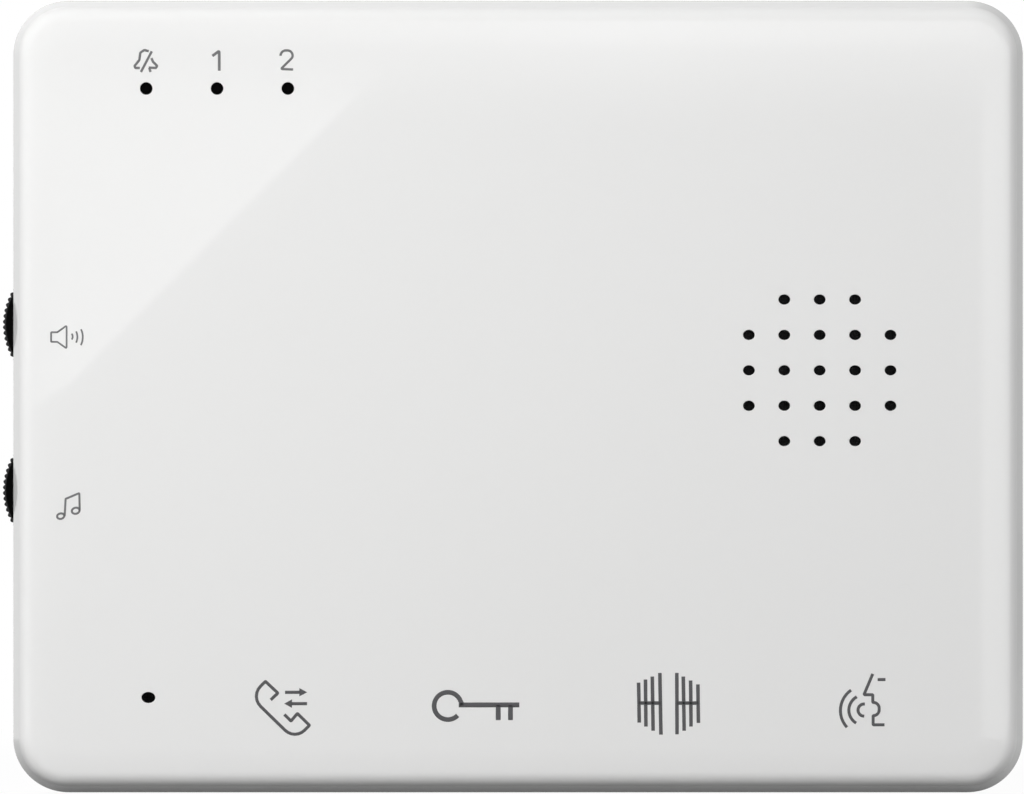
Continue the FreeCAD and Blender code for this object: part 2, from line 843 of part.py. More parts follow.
def pot_rotor(z):
    well_y, disc_front_y, disc_back_y = pot_levels()
    disc_radius = pot_side / 2 - pot_wall - rotor_clearance
    disc = rod(disc_radius, disc_front_y, disc_back_y)
    tail = rod(pivot_radius, disc_back_y, board_front_y - rotor_clearance)
    lug_inner = pivot_radius + lug_clearance + rotor_clearance
    lug = sector(disc_radius, lug_inner, disc_back_y, well_y - rotor_clearance, 180, lug_half_angle)
    shaft = d_bar(shaft_radius, shaft_flat, hub_front_y + rotor_clearance, disc_front_y)
    screw_end_y = hub_front_y + wheel_screw_length + rotor_clearance
    pilot = rod(wheel_screw_radius + screw_clearance, hub_front_y, screw_end_y)
    return moved(fused([disc, tail, lug, shaft]).cut(pilot), wheel_x, 0, z)


def pot_pins():
    """Three flat solder pins beside each potentiometer."""
    start = wheel_x + pot_side / 2
    half = pot_pin_width / 2
    pins = []
    for z in wheel_places.values():
        for step in (-1, 0, 1):
            middle = z + step * pot_pin_pitch
            pins.append(block(start, start + pot_pin_length, board_front_y - pot_pin_thickness, board_front_y,
                              middle - half, middle + half))
    return pins


def wheel_screw(z):
    return pan_screw(wheel_head_radius, wheel_head_height, wheel_screw_radius, wheel_screw_length,
                     hub_front_y, wheel_x, z, -1)


def light_guide():
    first = lamp_places[0]
    last = lamp_places[-1]
    bar_width = last[0] - first[0] + guide_bar_height
    middle = (first[0] + last[0]) / 2
    bar = slab(bar_width, guide_bar_height, guide_bar_corner, bar_front_y, bar_back_y, middle, first[1])
    pins = [rod(lamp_hole_radius - guide_clearance, front_y + guide_recess, bar_front_y, x, z)
            for x, z in lamp_places]
    legs = [rod(guide_leg_radius, bar_back_y, lamp_front_y - guide_lamp_gap, x, z) for x, z in lamp_places]
    guide = fused([bar] + pins + legs)
    return guide.cut([rod(stake_radius + guide_clearance, bar_front_y, bar_back_y, x, z)
                      for x, z in stake_places()])


def indicator_lamps():
    return [slab(lamp_side, lamp_side, lamp_corner, lamp_front_y, board_front_y, x, z)
            for x, z in lamp_places]


def mic_boot():
    outer = mic_radius + boot_wall
    port = mic_hole_width / 2 + mic_port_margin
    return turned([(port, front_inside_y), (outer, front_inside_y), (outer, boot_back_y),
                   (mic_radius, boot_back_y), (mic_radius, capsule_front_y), (port, capsule_front_y)],
                  [boot_rounding, boot_rounding, 0, 0, 0], mic_x, mic_z)


def mic_capsule():
    return turned([(0, capsule_front_y), (mic_radius, capsule_front_y), (mic_radius, capsule_back_y),
                   (0, capsule_back_y)], [can_rounding, can_rounding, 0], mic_x, mic_z)


def mic_pins():
    return [rod(mic_pin_radius, capsule_back_y, board_front_y, mic_x + s * mic_pin_pitch / 2, mic_z)
            for s in (-1, 1)]


def speaker_gasket():
    return tube(speaker_radius, speaker_radius - gasket_width, front_inside_y, speaker_front_y,
                speaker_x, speaker_z)


def speaker_cloth():
    return rod(cloth_radius, front_inside_y, front_inside_y + cloth_thickness, speaker_x, speaker_z)


def speaker_basket():
    """Stamped steel frame: a flat flange, a sloping bowl with windows, and a seat for the magnet."""
    t = basket_sheet
    bowl = speaker_radius - basket_flange
    seat = magnet_radius + basket_seat_margin
    back = basket_back_y
    front = speaker_front_y
    bore = coil_radius + coil_gap + basket_seat_margin
    basket = turned([(bore, back - t), (seat, back - t), (bowl - t, front + t), (bowl - t, front),
                     (speaker_radius, front), (speaker_radius, front + t), (bowl, front + t),
                     (seat + t, back), (bore, back)])
    margin = basket_window_margin
    half_angle = basket_window_angle / 2
    windows = [sector(bowl - margin, seat + margin, front + t + margin, back - t,
                      360 / basket_window_count * (i + 0.5), half_angle) for i in range(basket_window_count)]
    return moved(basket.cut(windows), speaker_x, 0, speaker_z)


def speaker_cone():
    """Paper cone with a flat edge and a domed cap, on its coil former."""
    p = cone_paper
    front = speaker_front_y - p
    edge = speaker_radius - gasket_width - cone_edge_gap
    roll = edge - cone_edge_width
    back = speaker_front_y + cone_depth
    cone = turned([(coil_radius, back - p), (roll, front), (edge, front), (edge, front + p),
                   (roll, front + p), (coil_radius, back)])
    former = tube(coil_radius, coil_radius - p, back - p, front_plate_y + coil_overhang)
    sphere = (coil_radius ** 2 + dome_height ** 2) / (2 * dome_height)
    centre = point(0, back - p - dome_height + sphere)
    cap = Part.makeSphere(sphere, centre).cut(Part.makeSphere(sphere - p, centre))
    cap = cap.common(rod(coil_radius, back - p - sphere, back - p))
    return moved(fused([cone, former, cap]), speaker_x, 0, speaker_z)


def speaker_front_plate():
    return tube(magnet_radius, coil_radius + coil_gap, basket_back_y, front_plate_y, speaker_x, speaker_z)


def speaker_magnet():
    bore = coil_radius + coil_gap + magnet_bore_margin
    return tube(magnet_radius, bore, front_plate_y, magnet_back_y, speaker_x, speaker_z)


def speaker_yoke():
    pole = coil_radius - cone_paper - coil_gap
    disc = rod(magnet_radius, magnet_back_y, yoke_back_y)
    return moved(fused([disc, rod(pole, basket_back_y, magnet_back_y)]), speaker_x, 0, speaker_z)


def speaker_clamp():
    strap = slab(clamp_width, clamp_length, clamp_radius, yoke_back_y, clamp_back_y, speaker_x, speaker_z)
    return strap.cut([rod(small_screw_radius + through_clearance, yoke_back_y, clamp_back_y, x, z)
                      for x, z in clamp_places])


def touch_strip(y0, y1):
    middle = (touch_left + touch_right) / 2
    return slab(touch_right - touch_left, touch_height, touch_corner, y0, y1, middle, key_z)


def touch_tape():
    cut = [rod(pad_radius + pad_clearance, front_inside_y, touch_front_y, x, key_z) for x in key_places]
    return touch_strip(front_inside_y, touch_front_y).cut(cut)


def touch_board():
    return touch_strip(touch_front_y, touch_back_y)


def touch_pads():
    return [rod(pad_radius, touch_front_y - pad_thickness, touch_front_y, x, key_z) for x in key_places]


def header_places():
    return row((key_places[0] + key_places[1]) / 2, header_pin_count, header_pitch)


def header_row(y0, y1):
    places = header_places()
    half = header_pitch / 2
    return block(places[0] - half, places[-1] + half, y0, y1, key_z - half, key_z + half)


def touch_header():
    """Pin strip between the two boards."""
    return header_row(touch_back_y, touch_back_y + header_base)


def touch_socket():
    return header_row(touch_back_y + header_base + header_gap, board_front_y)


def speaker_tag():
    """Small strip on the basket's flange that carries the ends of the coil."""
    front = speaker_front_y + basket_sheet
    left = speaker_x - speaker_radius + tag_from_edge
    return block(left, left + tag_width, front, front + tag_thickness, speaker_z - tag_length / 2,
                 speaker_z + tag_length / 2)


def speaker_leads():
    """Two leads from the strip, back past the ring and into the side of the plug."""
    start_x = speaker_x - speaker_radius + tag_from_edge + tag_width / 2
    start_y = speaker_front_y + basket_sheet + tag_thickness
    end_x = socket_right + plug_overhang
    leads = []
    for side in (-1, 1):
        z = speaker_z + side * lead_pitch / 2
        path = rounded_path([point(start_x, start_y, z), point(start_x, plug_middle_y, z),
                             point(end_x, plug_middle_y, z)], [lead_bend])
        section = Part.Wire(Part.makeCircle(lead_radius, point(start_x, start_y, z), Y_AXIS))
        leads.append(Part.Wire(path).makePipeShell([section], True, False))
    return leads


def speaker_socket():
    half = socket_width / 2
    inner = half - socket_wall
    body = block(socket_left, socket_right, socket_front_y, board_front_y, speaker_z - half, speaker_z + half)
    return body.cut(block(socket_left + socket_wall, socket_right, socket_front_y + socket_wall,
                          board_front_y - socket_wall, speaker_z - inner, speaker_z + inner))


def speaker_plug():
    gap = socket_wall + plug_clearance
    half = socket_width / 2 - gap
    return block(socket_left + gap, socket_right + plug_overhang, socket_front_y + gap, board_front_y - gap,
                 speaker_z - half, speaker_z + half)


def filter_capacitors():
    """Standing cans with a rolled groove near the foot."""
    groove = capacitor_groove
    foot = capacitor_foot
    cans = []
    for i in range(capacitor_count):
        can = turned([(0, -capacitor_height), (capacitor_radius, -capacitor_height),
                      (capacitor_radius, -foot), (capacitor_radius - groove, groove - foot),
                      (capacitor_radius, 2 * groove - foot), (capacitor_radius, 0), (0, 0)],
                     [groove, 0, 0, 0, 0, 0])
        cans.append(moved(can, capacitor_x + i * capacitor_pitch, board_front_y, capacitor_z))
    return cans


def choke_core():
    """Ferrite drum with two flanges."""
    front = board_front_y - choke_height
    upper = front + choke_flange
    lower = board_front_y - choke_flange
    return turned([(0, front), (choke_radius, front), (choke_radius, upper), (choke_core_radius, upper),
                   (choke_core_radius, lower), (choke_radius, lower), (choke_radius, board_front_y),
                   (0, board_front_y)], None, choke_x, choke_z)


def choke_winding():
    upper = board_front_y - choke_height + choke_flange
    lower = board_front_y - choke_flange
    outer = choke_radius - choke_winding_depth
    return turned([(choke_core_radius, upper), (outer, upper), (outer, lower), (choke_core_radius, lower)],
                  [choke_winding_depth, choke_winding_depth, 0], choke_x, choke_z)


def signal_chips():
    back = board_front_y - chip_standoff
    bodies = []
    for name, x in chip_x.items():
        half = chip_pin_count[name] / 4 * chip_pitch + chip_leg_width / 2
        bodies.append(block(x - half, x + half, back - chip_height, back, chip_z - chip_width / 2,
                            chip_z + chip_width / 2))
    return bodies


def chip_legs():
    """Gull-wing legs along both long sides of each chip."""
    t = chip_leg_thickness
    half = chip_width / 2
    knee = half + chip_leg_reach / 2
    tip = half + chip_leg_reach
    middle_y = board_front_y - chip_standoff - chip_height / 2
    surface_y = board_front_y
    outline = [(half, middle_y - t), (knee, middle_y - t), (knee, surface_y - t), (tip, surface_y - t),
               (tip, surface_y), (knee - t, surface_y), (knee - t, middle_y), (half, middle_y)]
    leg = closed_face([point(0, y, z) for z, y in outline]).extrude(point(chip_leg_width))
    other = leg.copy()
    other.rotate(ORIGIN, Y_AXIS, 180)
    other.translate(point(chip_leg_width))
    legs = []
    for name, x in chip_x.items():
        per_side = round(chip_pin_count[name] / 2)
        for i in range(per_side):
            left = x + (i - (per_side - 1) / 2) * chip_pitch - chip_leg_width / 2
            legs += [moved(piece, left, 0, chip_z) for piece in (leg, other)]
    return legs


def terminal_block():
    """Moulded block with a sloping edge above the wire chambers, which open upwards."""
    back = board_back_y + terminal_height
    low = terminal_low_z
    high = terminal_low_z + terminal_depth
    left = terminal_places[0] - terminal_pitch / 2
    outline = [(low, board_back_y), (high, board_back_y), (high, back - terminal_slope_height),
               (high - terminal_slope_depth, back), (low, back)]
    body = closed_face([point(left, y, z) for z, y in outline])
    body = body.extrude(point(terminal_count * terminal_pitch))
    floor_y, roof_y = chamber_levels()
    ledge_y = roof_y + chamber_roof
    half = chamber_width / 2
    screw_z = terminal_screw_z()
    cutters = []
    for x in terminal_places:
        cutters.append(block(x - half, x + half, floor_y, roof_y, high - chamber_depth, high))
        cutters.append(rod(terminal_head_radius + terminal_well_clearance, ledge_y, back, x, screw_z))
        cutters.append(rod(terminal_shank_radius + terminal_well_clearance, roof_y, ledge_y, x, screw_z))
    return body.cut(cutters)


def chamber_levels():
    floor_y = board_back_y + chamber_floor
    return floor_y, floor_y + chamber_height


def terminal_screw_z():
    high = terminal_low_z + terminal_depth
    return (high - chamber_depth + high - cage_inset) / 2


def terminal_cages():
    """Square tubes that clamp the wires. The screw runs through their thicker wall."""
    floor_y, roof_y = chamber_levels()
    high = terminal_low_z + terminal_depth
    low_z = high - chamber_depth + cage_clearance
    high_z = high - cage_inset
    half = chamber_width / 2 - cage_clearance
    front = floor_y + cage_clearance
    back = roof_y - cage_clearance
    cages = []
    for x in terminal_places:
        cage = block(x - half, x + half, front, back, low_z, high_z)
        inside = block(x - half + cage_wall, x + half - cage_wall, front + cage_wall, back - cage_top,
                       low_z, high_z)
        hole = rod(terminal_shank_radius + screw_clearance, back - cage_top, back, x, terminal_screw_z())
        cages.append(cage.cut([inside, hole]))
    return cages


def terminal_screws():
    seat_y = chamber_levels()[1] + chamber_roof
    top_y = seat_y + terminal_head_height
    slot_y = top_y - screw_slot_depth
    head = terminal_head_radius
    half = screw_slot_width / 2
    z = terminal_screw_z()
    screws = []
    for x in terminal_places:
        screw = fused([rod(head, seat_y, top_y, x, z),
                       rod(terminal_shank_radius, seat_y - terminal_screw_length, seat_y, x, z)])
        screws.append(screw.cut(block(x - head, x + head, slot_y, top_y, z - half, z + half)))
    return screws


def code_switch():
    """Housing with a row of slots, each with a wider chamber below for the lever's foot."""
    half_x = switch_length / 2
    half_z = switch_depth / 2
    body = block(switch_x - half_x, switch_x + half_x, board_back_y, switch_back_y, switch_z - half_z,
                 switch_z + half_z)
    reach = (lever_length + lever_travel) / 2 + lever_clearance
    neck = lever_width / 2 + lever_clearance
    foot = lever_foot_width / 2 + lever_clearance
    neck_y = switch_back_y - lever_neck
    foot_y = neck_y - lever_foot_height - 2 * lever_clearance
    cutters = []
    for x in lever_places:
        cutters.append(block(x - neck, x + neck, neck_y, switch_back_y, switch_z - reach, switch_z + reach))
        cutters.append(block(x - foot, x + foot, foot_y, neck_y, switch_z - reach, switch_z + reach))
    return body.cut(cutters)


def code_lever(x):
    """Slides up from the off position, held in by its wider foot."""
    middle = switch_z - lever_travel / 2
    foot_y = switch_back_y - lever_neck - lever_clearance
    low = middle - lever_length / 2
    high = middle + lever_length / 2
    stem_half = lever_width / 2
    foot_half = lever_foot_width / 2
    stem = block(x - stem_half, x + stem_half, foot_y, switch_back_y + lever_rise, low, high)
    return fused([stem, block(x - foot_half, x + foot_half, foot_y - lever_foot_height, foot_y, low, high)])


def jumper_places():
    return row(switch_z, jumper_pin_count, jumper_pitch)


def pin_bars(places, side, y0, y1):
    """Square bars along Y, at the jumper's pins."""
    half = side / 2
    return [block(jumper_x - half, jumper_x + half, y0, y1, z - half, z + half) for z in places]


def jumper_base():
    half = jumper_pitch / 2
    places = jumper_places()
    base = block(jumper_x - half, jumper_x + half, board_back_y, jumper_base_y, places[0] - half,
                 places[-1] + half)
    return base.cut(pin_bars(places, jumper_pin_side + 2 * screw_clearance, board_back_y, jumper_base_y))


def jumper_pins():
    return pin_bars(jumper_places(), jumper_pin_side, board_back_y, jumper_base_y + jumper_pin_rise)


def jumper_cap():
    """Bridges the lower two pins."""
    half = jumper_pitch / 2 - jumper_clearance
    places = jumper_places()[:2]
    front = jumper_base_y + jumper_clearance
    cap = block(jumper_x - half, jumper_x + half, front, front + jumper_cap_height, places[0] - half,
                places[1] + half)
    side = jumper_pin_side + 2 * jumper_clearance
    return cap.cut(pin_bars(places, side, front, jumper_base_y + jumper_pin_rise + jumper_clearance))


def export(name, shape):
    if isinstance(shape, list):
        shape = Part.makeCompound(shape)
    shape.exportStep("parts/" + name + ".step")
    volume = sum(solid.Volume for solid in shape.Solids)
    print(name, len(shape.Solids), "solid(s), valid", shape.isValid(), "volume", round(volume, 2))


def build():
    os.makedirs("parts", exist_ok=True)
    makers = [front_cover, rear_shell, wall_bracket, case_screws, main_board, small_screws, pot_pins,
              light_guide, indicator_lamps, mic_boot, mic_capsule, mic_pins, speaker_gasket, speaker_cloth,
              speaker_basket, speaker_cone, speaker_front_plate, speaker_magnet, speaker_yoke, speaker_clamp,
              speaker_tag, speaker_leads, speaker_socket, speaker_plug, touch_tape, touch_board, touch_pads,
              touch_header, touch_socket, filter_capacitors, choke_core, choke_winding, signal_chips,
              chip_legs, terminal_block, terminal_cages, terminal_screws, code_switch, jumper_base,
              jumper_pins, jumper_cap]
    for maker in makers:
        export(maker.__name__, maker())
    for name, z in wheel_places.items():
        for maker in (pot_base, pot_cover, pot_rotor, volume_wheel, wheel_screw):
            export(name + "_" + maker.__name__, maker(z))
    for number, x in enumerate(reversed(lever_places), 1):
        export("code_lever_" + str(number), code_lever(x))


build()
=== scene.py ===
import bmesh
import bpy
import math
from mathutils import Matrix, Vector


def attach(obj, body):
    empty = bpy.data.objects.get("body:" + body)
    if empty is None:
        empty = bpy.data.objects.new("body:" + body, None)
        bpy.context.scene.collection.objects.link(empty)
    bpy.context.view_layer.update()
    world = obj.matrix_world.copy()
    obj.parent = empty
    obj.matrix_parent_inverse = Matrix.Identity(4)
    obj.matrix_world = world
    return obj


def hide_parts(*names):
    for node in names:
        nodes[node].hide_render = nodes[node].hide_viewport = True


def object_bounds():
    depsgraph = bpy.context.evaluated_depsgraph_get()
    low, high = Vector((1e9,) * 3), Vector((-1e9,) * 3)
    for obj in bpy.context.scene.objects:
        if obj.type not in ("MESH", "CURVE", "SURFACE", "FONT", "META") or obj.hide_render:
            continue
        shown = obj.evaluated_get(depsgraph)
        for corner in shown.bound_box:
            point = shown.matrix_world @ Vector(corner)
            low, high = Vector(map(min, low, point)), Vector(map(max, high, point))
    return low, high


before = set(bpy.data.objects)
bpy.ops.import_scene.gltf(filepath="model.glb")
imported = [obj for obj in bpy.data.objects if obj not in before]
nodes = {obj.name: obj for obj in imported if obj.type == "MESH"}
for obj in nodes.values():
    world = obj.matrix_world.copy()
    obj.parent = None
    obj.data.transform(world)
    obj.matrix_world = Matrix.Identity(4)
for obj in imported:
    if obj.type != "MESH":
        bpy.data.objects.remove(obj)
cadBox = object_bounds()
scene = bpy.context.scene
mm = 0.001
looks = {}  # every finish by its name
print("frame loaded:", len(nodes), "CAD nodes")


# building with nodes

def assign(owner, **settings):
    for key, value in settings.items():
        setattr(owner, key, value)
    return owner


def fill(tree, node, inputs):
    # links each input that is given a socket, and sets the others
    for key, value in inputs.items():
        if isinstance(value, bpy.types.NodeSocket):
            tree.links.new(value, node.inputs[key])
        else:
            node.inputs[key].default_value = value


def addNode(tree, kind, inputs=None, **settings):
    # gives back the new node's outputs
    node = assign(tree.nodes.new(kind), **settings)
    fill(tree, node, inputs or {})
    return node.outputs


def treeOf(values):
    # the tree of the first socket among these values
    return next(value.id_data for value in values if isinstance(value, bpy.types.NodeSocket))


def calc(operation, a, b=0.0, c=0.0):
    return addNode(treeOf((a, b, c)), "ShaderNodeMath", {0: a, 1: b, 2: c}, operation=operation)[0]


def times(a, b):
    return calc("MULTIPLY", a, b)


def larger(a, b):
    return calc("MAXIMUM", a, b)


def vectorCalc(operation, *vectors):
    return addNode(treeOf(vectors), "ShaderNodeVectorMath", dict(enumerate(vectors)), operation=operation)


def split(vector):
    return addNode(vector.id_data, "ShaderNodeSeparateXYZ", {0: vector})


def join(x, y, z):
    return addNode(treeOf((x, y, z)), "ShaderNodeCombineXYZ", {0: x, 1: y, 2: z})[0]


def ramp(value, low, high, start=0.0, end=1.0, smooth=False):
    # runs from low to high while the value runs from start to end
    span = {"Value": value, "From Min": start, "From Max": end, "To Min": low, "To Max": high}
    kind = "SMOOTHSTEP" if smooth else "LINEAR"
    return addNode(value.id_data, "ShaderNodeMapRange", span, interpolation_type=kind)[0]


def mixed(share, a, b):
    inputs = {"Factor": share, "A": a, "B": b}
    return addNode(share.id_data, "ShaderNodeMix", inputs, data_type="RGBA")["Result"]


def mixShaders(share, a, b):
    return addNode(share.id_data, "ShaderNodeMixShader", {0: share, 1: a, 2: b})[0]


def coordinates(tree, kind="Object"):
    return addNode(tree, "ShaderNodeTexCoord")[kind]


def position(tree):
    return addNode(tree, "GeometryNodeInputPosition")[0]


def emptyTree(owner):
    owner.use_nodes = True
    owner.node_tree.nodes.clear()
    return owner.node_tree


def shapeTree(name, **inputs):
    # a tree with a shape, these inputs and a material
    tree = bpy.data.node_groups.new(name, "GeometryNodeTree")
    tree.interface.new_socket("Geometry", in_out="OUTPUT", socket_type="NodeSocketGeometry")
    for label, kind in {"Geometry": "Geometry", **inputs, "Material": "Material"}.items():
        tree.interface.new_socket(label, in_out="INPUT", socket_type="NodeSocket" + kind)
    return tree, addNode(tree, "NodeGroupInput")


def finishTree(tree, geometry, given):
    real = addNode(tree, "GeometryNodeRealizeInstances", {"Geometry": geometry})
    painted = addNode(tree, "GeometryNodeSetMaterial", {"Geometry": real[0], "Material": given["Material"]})
    addNode(tree, "NodeGroupOutput", {0: painted[0]})
    return tree


def runTree(tree, name, mesh, look, **values):
    # lets one tree shape a mesh, and keeps what comes out as a plain mesh
    piece = placed(name, mesh)
    modifier = assign(piece.modifiers.new("shape", "NODES"), node_group=tree)
    values["Material"] = looks[look]
    for item in tree.interface.items_tree:
        if item.in_out == "INPUT" and item.name in values:
            modifier[item.identifier] = values[item.name]
    return bake(piece)


# building with meshes, in millimetres

def placed(name, data):
    piece = bpy.data.objects.new(name, data)
    scene.collection.objects.link(piece)
    return piece


def bakedMesh(piece):
    depsgraph = bpy.context.evaluated_depsgraph_get()
    return bpy.data.meshes.new_from_object(piece.evaluated_get(depsgraph))


def bake(piece):
    mesh = bakedMesh(piece)
    piece.modifiers.clear()
    piece.data = mesh
    return piece


def modify(piece, kind, **settings):
    assign(piece.modifiers.new(kind, kind), **settings)
    return bake(piece)


def panel(name, corners, material):
    mesh = bpy.data.meshes.new(name)
    mesh.from_pydata(corners, [], [(0, 1, 2, 3)])
    mesh.materials.append(material)
    return placed(name, mesh)


def meshPiece(name, bm, look=None):
    # makes a piece of a bmesh that is in metres
    bmesh.ops.recalc_face_normals(bm, faces=bm.faces)
    mesh = bpy.data.meshes.new(name)
    bm.to_mesh(mesh)
    bm.free()
    if look:
        mesh.materials.append(looks[look])
    return placed(name, mesh)


def newPiece(name, bm, look=None):
    for v in bm.verts:
        v.co *= mm
    return meshPiece(name, bm, look)


def lathe(bm, points, steps=32, x=0.0, z=0.0, high=1.0):
    # turns (radius, y) points about a line along Y, closed on itself
    angles = [2 * math.pi * i / steps for i in range(steps)]
    rings = []
    for radius, y in points:
        turned = angles if radius > 1e-6 else [0.0]
        rings.append([bm.verts.new((x + radius * math.cos(a), y, z + high * radius * math.sin(a)))
                      for a in turned])
    for first, second in zip(rings, rings[1:] + rings[:1]):
        if len(first) == 1 and len(second) == 1:
            continue
        for i in range(steps):
            j = (i + 1) % steps
            corners = [first[0]] if len(first) == 1 else [first[i], first[j]]
            corners += [second[0]] if len(second) == 1 else [second[j], second[i]]
            bm.faces.new(corners)


def disc(bm, radius, start, end, steps, x, z):
    lathe(bm, [(0, start), (radius, start), (radius, end), (0, end)], steps, x, z)


def box(bm, x0, x1, y0, y1, z0, z1):
    verts = [bm.verts.new((x, y, z)) for x in (x0, x1) for y in (y0, y1) for z in (z0, z1)]
    for face in ((0, 1, 3, 2), (4, 6, 7, 5), (0, 4, 5, 1), (2, 3, 7, 6), (0, 2, 6, 4), (1, 5, 7, 3)):
        bm.faces.new([verts[i] for i in face])


def roundedLine(points, radii, stepAngle):
    # a run of (u, y) points whose corners are rounded
    line = [Vector(points[0])]
    for before, corner, after, radius in zip(points, points[1:], points[2:], radii):
        before, corner, after = Vector(before), Vector(corner), Vector(after)
        if radius <= 0:
            line.append(corner)
            continue
        back = (before - corner).normalized()
        ahead = (after - corner).normalized()
        half = back.angle(ahead) / 2
        centre = corner + (back + ahead).normalized() * (radius / math.sin(half))
        start = corner + back * (radius / math.tan(half)) - centre
        turn = start.angle_signed(corner + ahead * (radius / math.tan(half)) - centre)
        count = max(2, math.ceil(abs(math.degrees(turn)) / stepAngle))
        for i in range(count + 1):
            line.append(centre + Matrix.Rotation(-turn * i / count, 2) @ start)
    line.append(Vector(points[-1]))
    return line


def roundedRing(bm, width, height, corner, u, y, steps):
    # a ring round a box, u outwards from the middle of each of its rounded corners
    ring = []
    for quarter, (right, up) in enumerate(((1, 1), (-1, 1), (-1, -1), (1, -1))):
        cx, cz = right * (width / 2 - corner), up * (height / 2 - corner)
        for i in range(steps + 1):
            angle = math.pi / 2 * quarter + math.pi / 2 * i / steps
            ring.append(bm.verts.new((cx + u * math.cos(angle), y, cz + u * math.sin(angle))))
    return ring


def bridge(bm, rings):
    for first, second in zip(rings, rings[1:]):
        for i in range(len(first)):
            j = (i + 1) % len(first)
            bm.faces.new((first[i], first[j], second[j], second[i]))


def boolean(piece, cutter, operation):
    modify(piece, "BOOLEAN", object=cutter, operation=operation, solver="EXACT",
           use_self=operation == "UNION")
    bpy.data.objects.remove(cutter)


def settle(piece, sharpAngle=30.0, bevel=0.0):
    # rounds the hard edges a little and gives the flat faces true normals
    sharp = math.radians(sharpAngle)
    if bevel:
        modify(piece, "BEVEL", width=bevel * mm, segments=2, limit_method="ANGLE", angle_limit=sharp)
    for face in piece.data.polygons:
        face.use_smooth = True
    piece.data.set_sharp_from_angle(angle=sharp)
    return modify(piece, "WEIGHTED_NORMAL", keep_sharp=True)


def onBody(piece, slot, *replaced, body="station"):
    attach(piece, body)
    if replaced:
        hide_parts(*replaced)
    return piece


# finishes

grain = {"span": (0.35, 0.65), "plasticDetail": 4.0, "metalDetail": 5.0, "mouldDetail": 3.0,
         "metalBump": 0.2, "metalDepth": 0.02}


def newFinish(name):
    material = bpy.data.materials.new(name)
    material.use_nodes = True
    looks[name] = material
    return material.node_tree, coordinates(material.node_tree)


def coat(tree, tint, height, strength, depth, others):
    # gives the shader its colour, its bump and what else is named
    bump = addNode(tree, "ShaderNodeBump", {"Height": height, "Strength": strength, "Distance": depth * mm})
    fill(tree, tree.nodes["Principled BSDF"], {"Base Color": tint, "Normal": bump[0], **others})


def speckled(tree, place, scale, dark, light, detail=grain["plasticDetail"]):
    # noise between two colours
    noise = addNode(tree, "ShaderNodeTexNoise", {"Vector": place, "Scale": scale, "Detail": detail})[0]
    return noise, mixed(ramp(noise, 0.0, 1.0, *grain["span"]), (*dark, 1), (*light, 1))


def plastic(name, colour, shade, rough, mould, bump, depth, flow=60.0, gloss=0.5):
    # moulded plastic: faint flow marks in the colour, its gloss, and the grain of the mould
    tree, place = newFinish(name)
    marks, tint = speckled(tree, place, flow, [c * shade for c in colour], colour)
    fine = {"Vector": place, "Scale": mould, "Detail": grain["mouldDetail"]}
    coat(tree, tint, addNode(tree, "ShaderNodeTexNoise", fine)[0], bump, depth,
         {"Roughness": ramp(marks, *rough), "Specular IOR Level": gloss})


def metal(name, light, dark, rough, patch, crystal, spangle, stretch=(1, 1, 1)):
    # plated or bare metal: crystals or rolling lines, with dull patches
    tree, place = newFinish(name)
    stretched = addNode(tree, "ShaderNodeMapping", {"Vector": place, "Scale": stretch})[0]
    patches, tint = speckled(tree, stretched, patch, dark, light, grain["metalDetail"])
    crystals = addNode(tree, "ShaderNodeTexVoronoi", {"Vector": place, "Scale": crystal})["Color"]
    tone = addNode(tree, "ShaderNodeSeparateColor", {"Color": crystals})[0]
    both = calc("MULTIPLY_ADD", tone, spangle, patches)
    coat(tree, tint, patches, grain["metalBump"], grain["metalDepth"],
         {"Roughness": ramp(both, *rough), "Metallic": 1.0})


def woven(place, pitch):
    x, _, z = split(place)
    return [calc("SINE", times(side, pitch)) for side in (x, z)]


def boardFinish(name, look):
    # solder mask over a glass weave, darker where it pools
    tree, place = newFinish(name)
    flow, tint = speckled(tree, place, look["flow"], look["dark"], look["light"])
    coat(tree, tint, calc("ADD", *woven(place, look["weave"])), look["bump"], look["depth"],
         {"Roughness": ramp(flow, *look["rough"]), "IOR": look["ior"]})


def clothFinish(name, look):
    # thin cloth with an open weave
    tree, place = newFinish(name)
    threads = larger(*woven(place, look["weave"]))
    tint = mixed(ramp(threads, 0.0, 1.0, look["gap"]), (*look["dark"], 1), (*look["light"], 1))
    coat(tree, tint, threads, look["bump"], look["depth"], {"Roughness": look["rough"]})


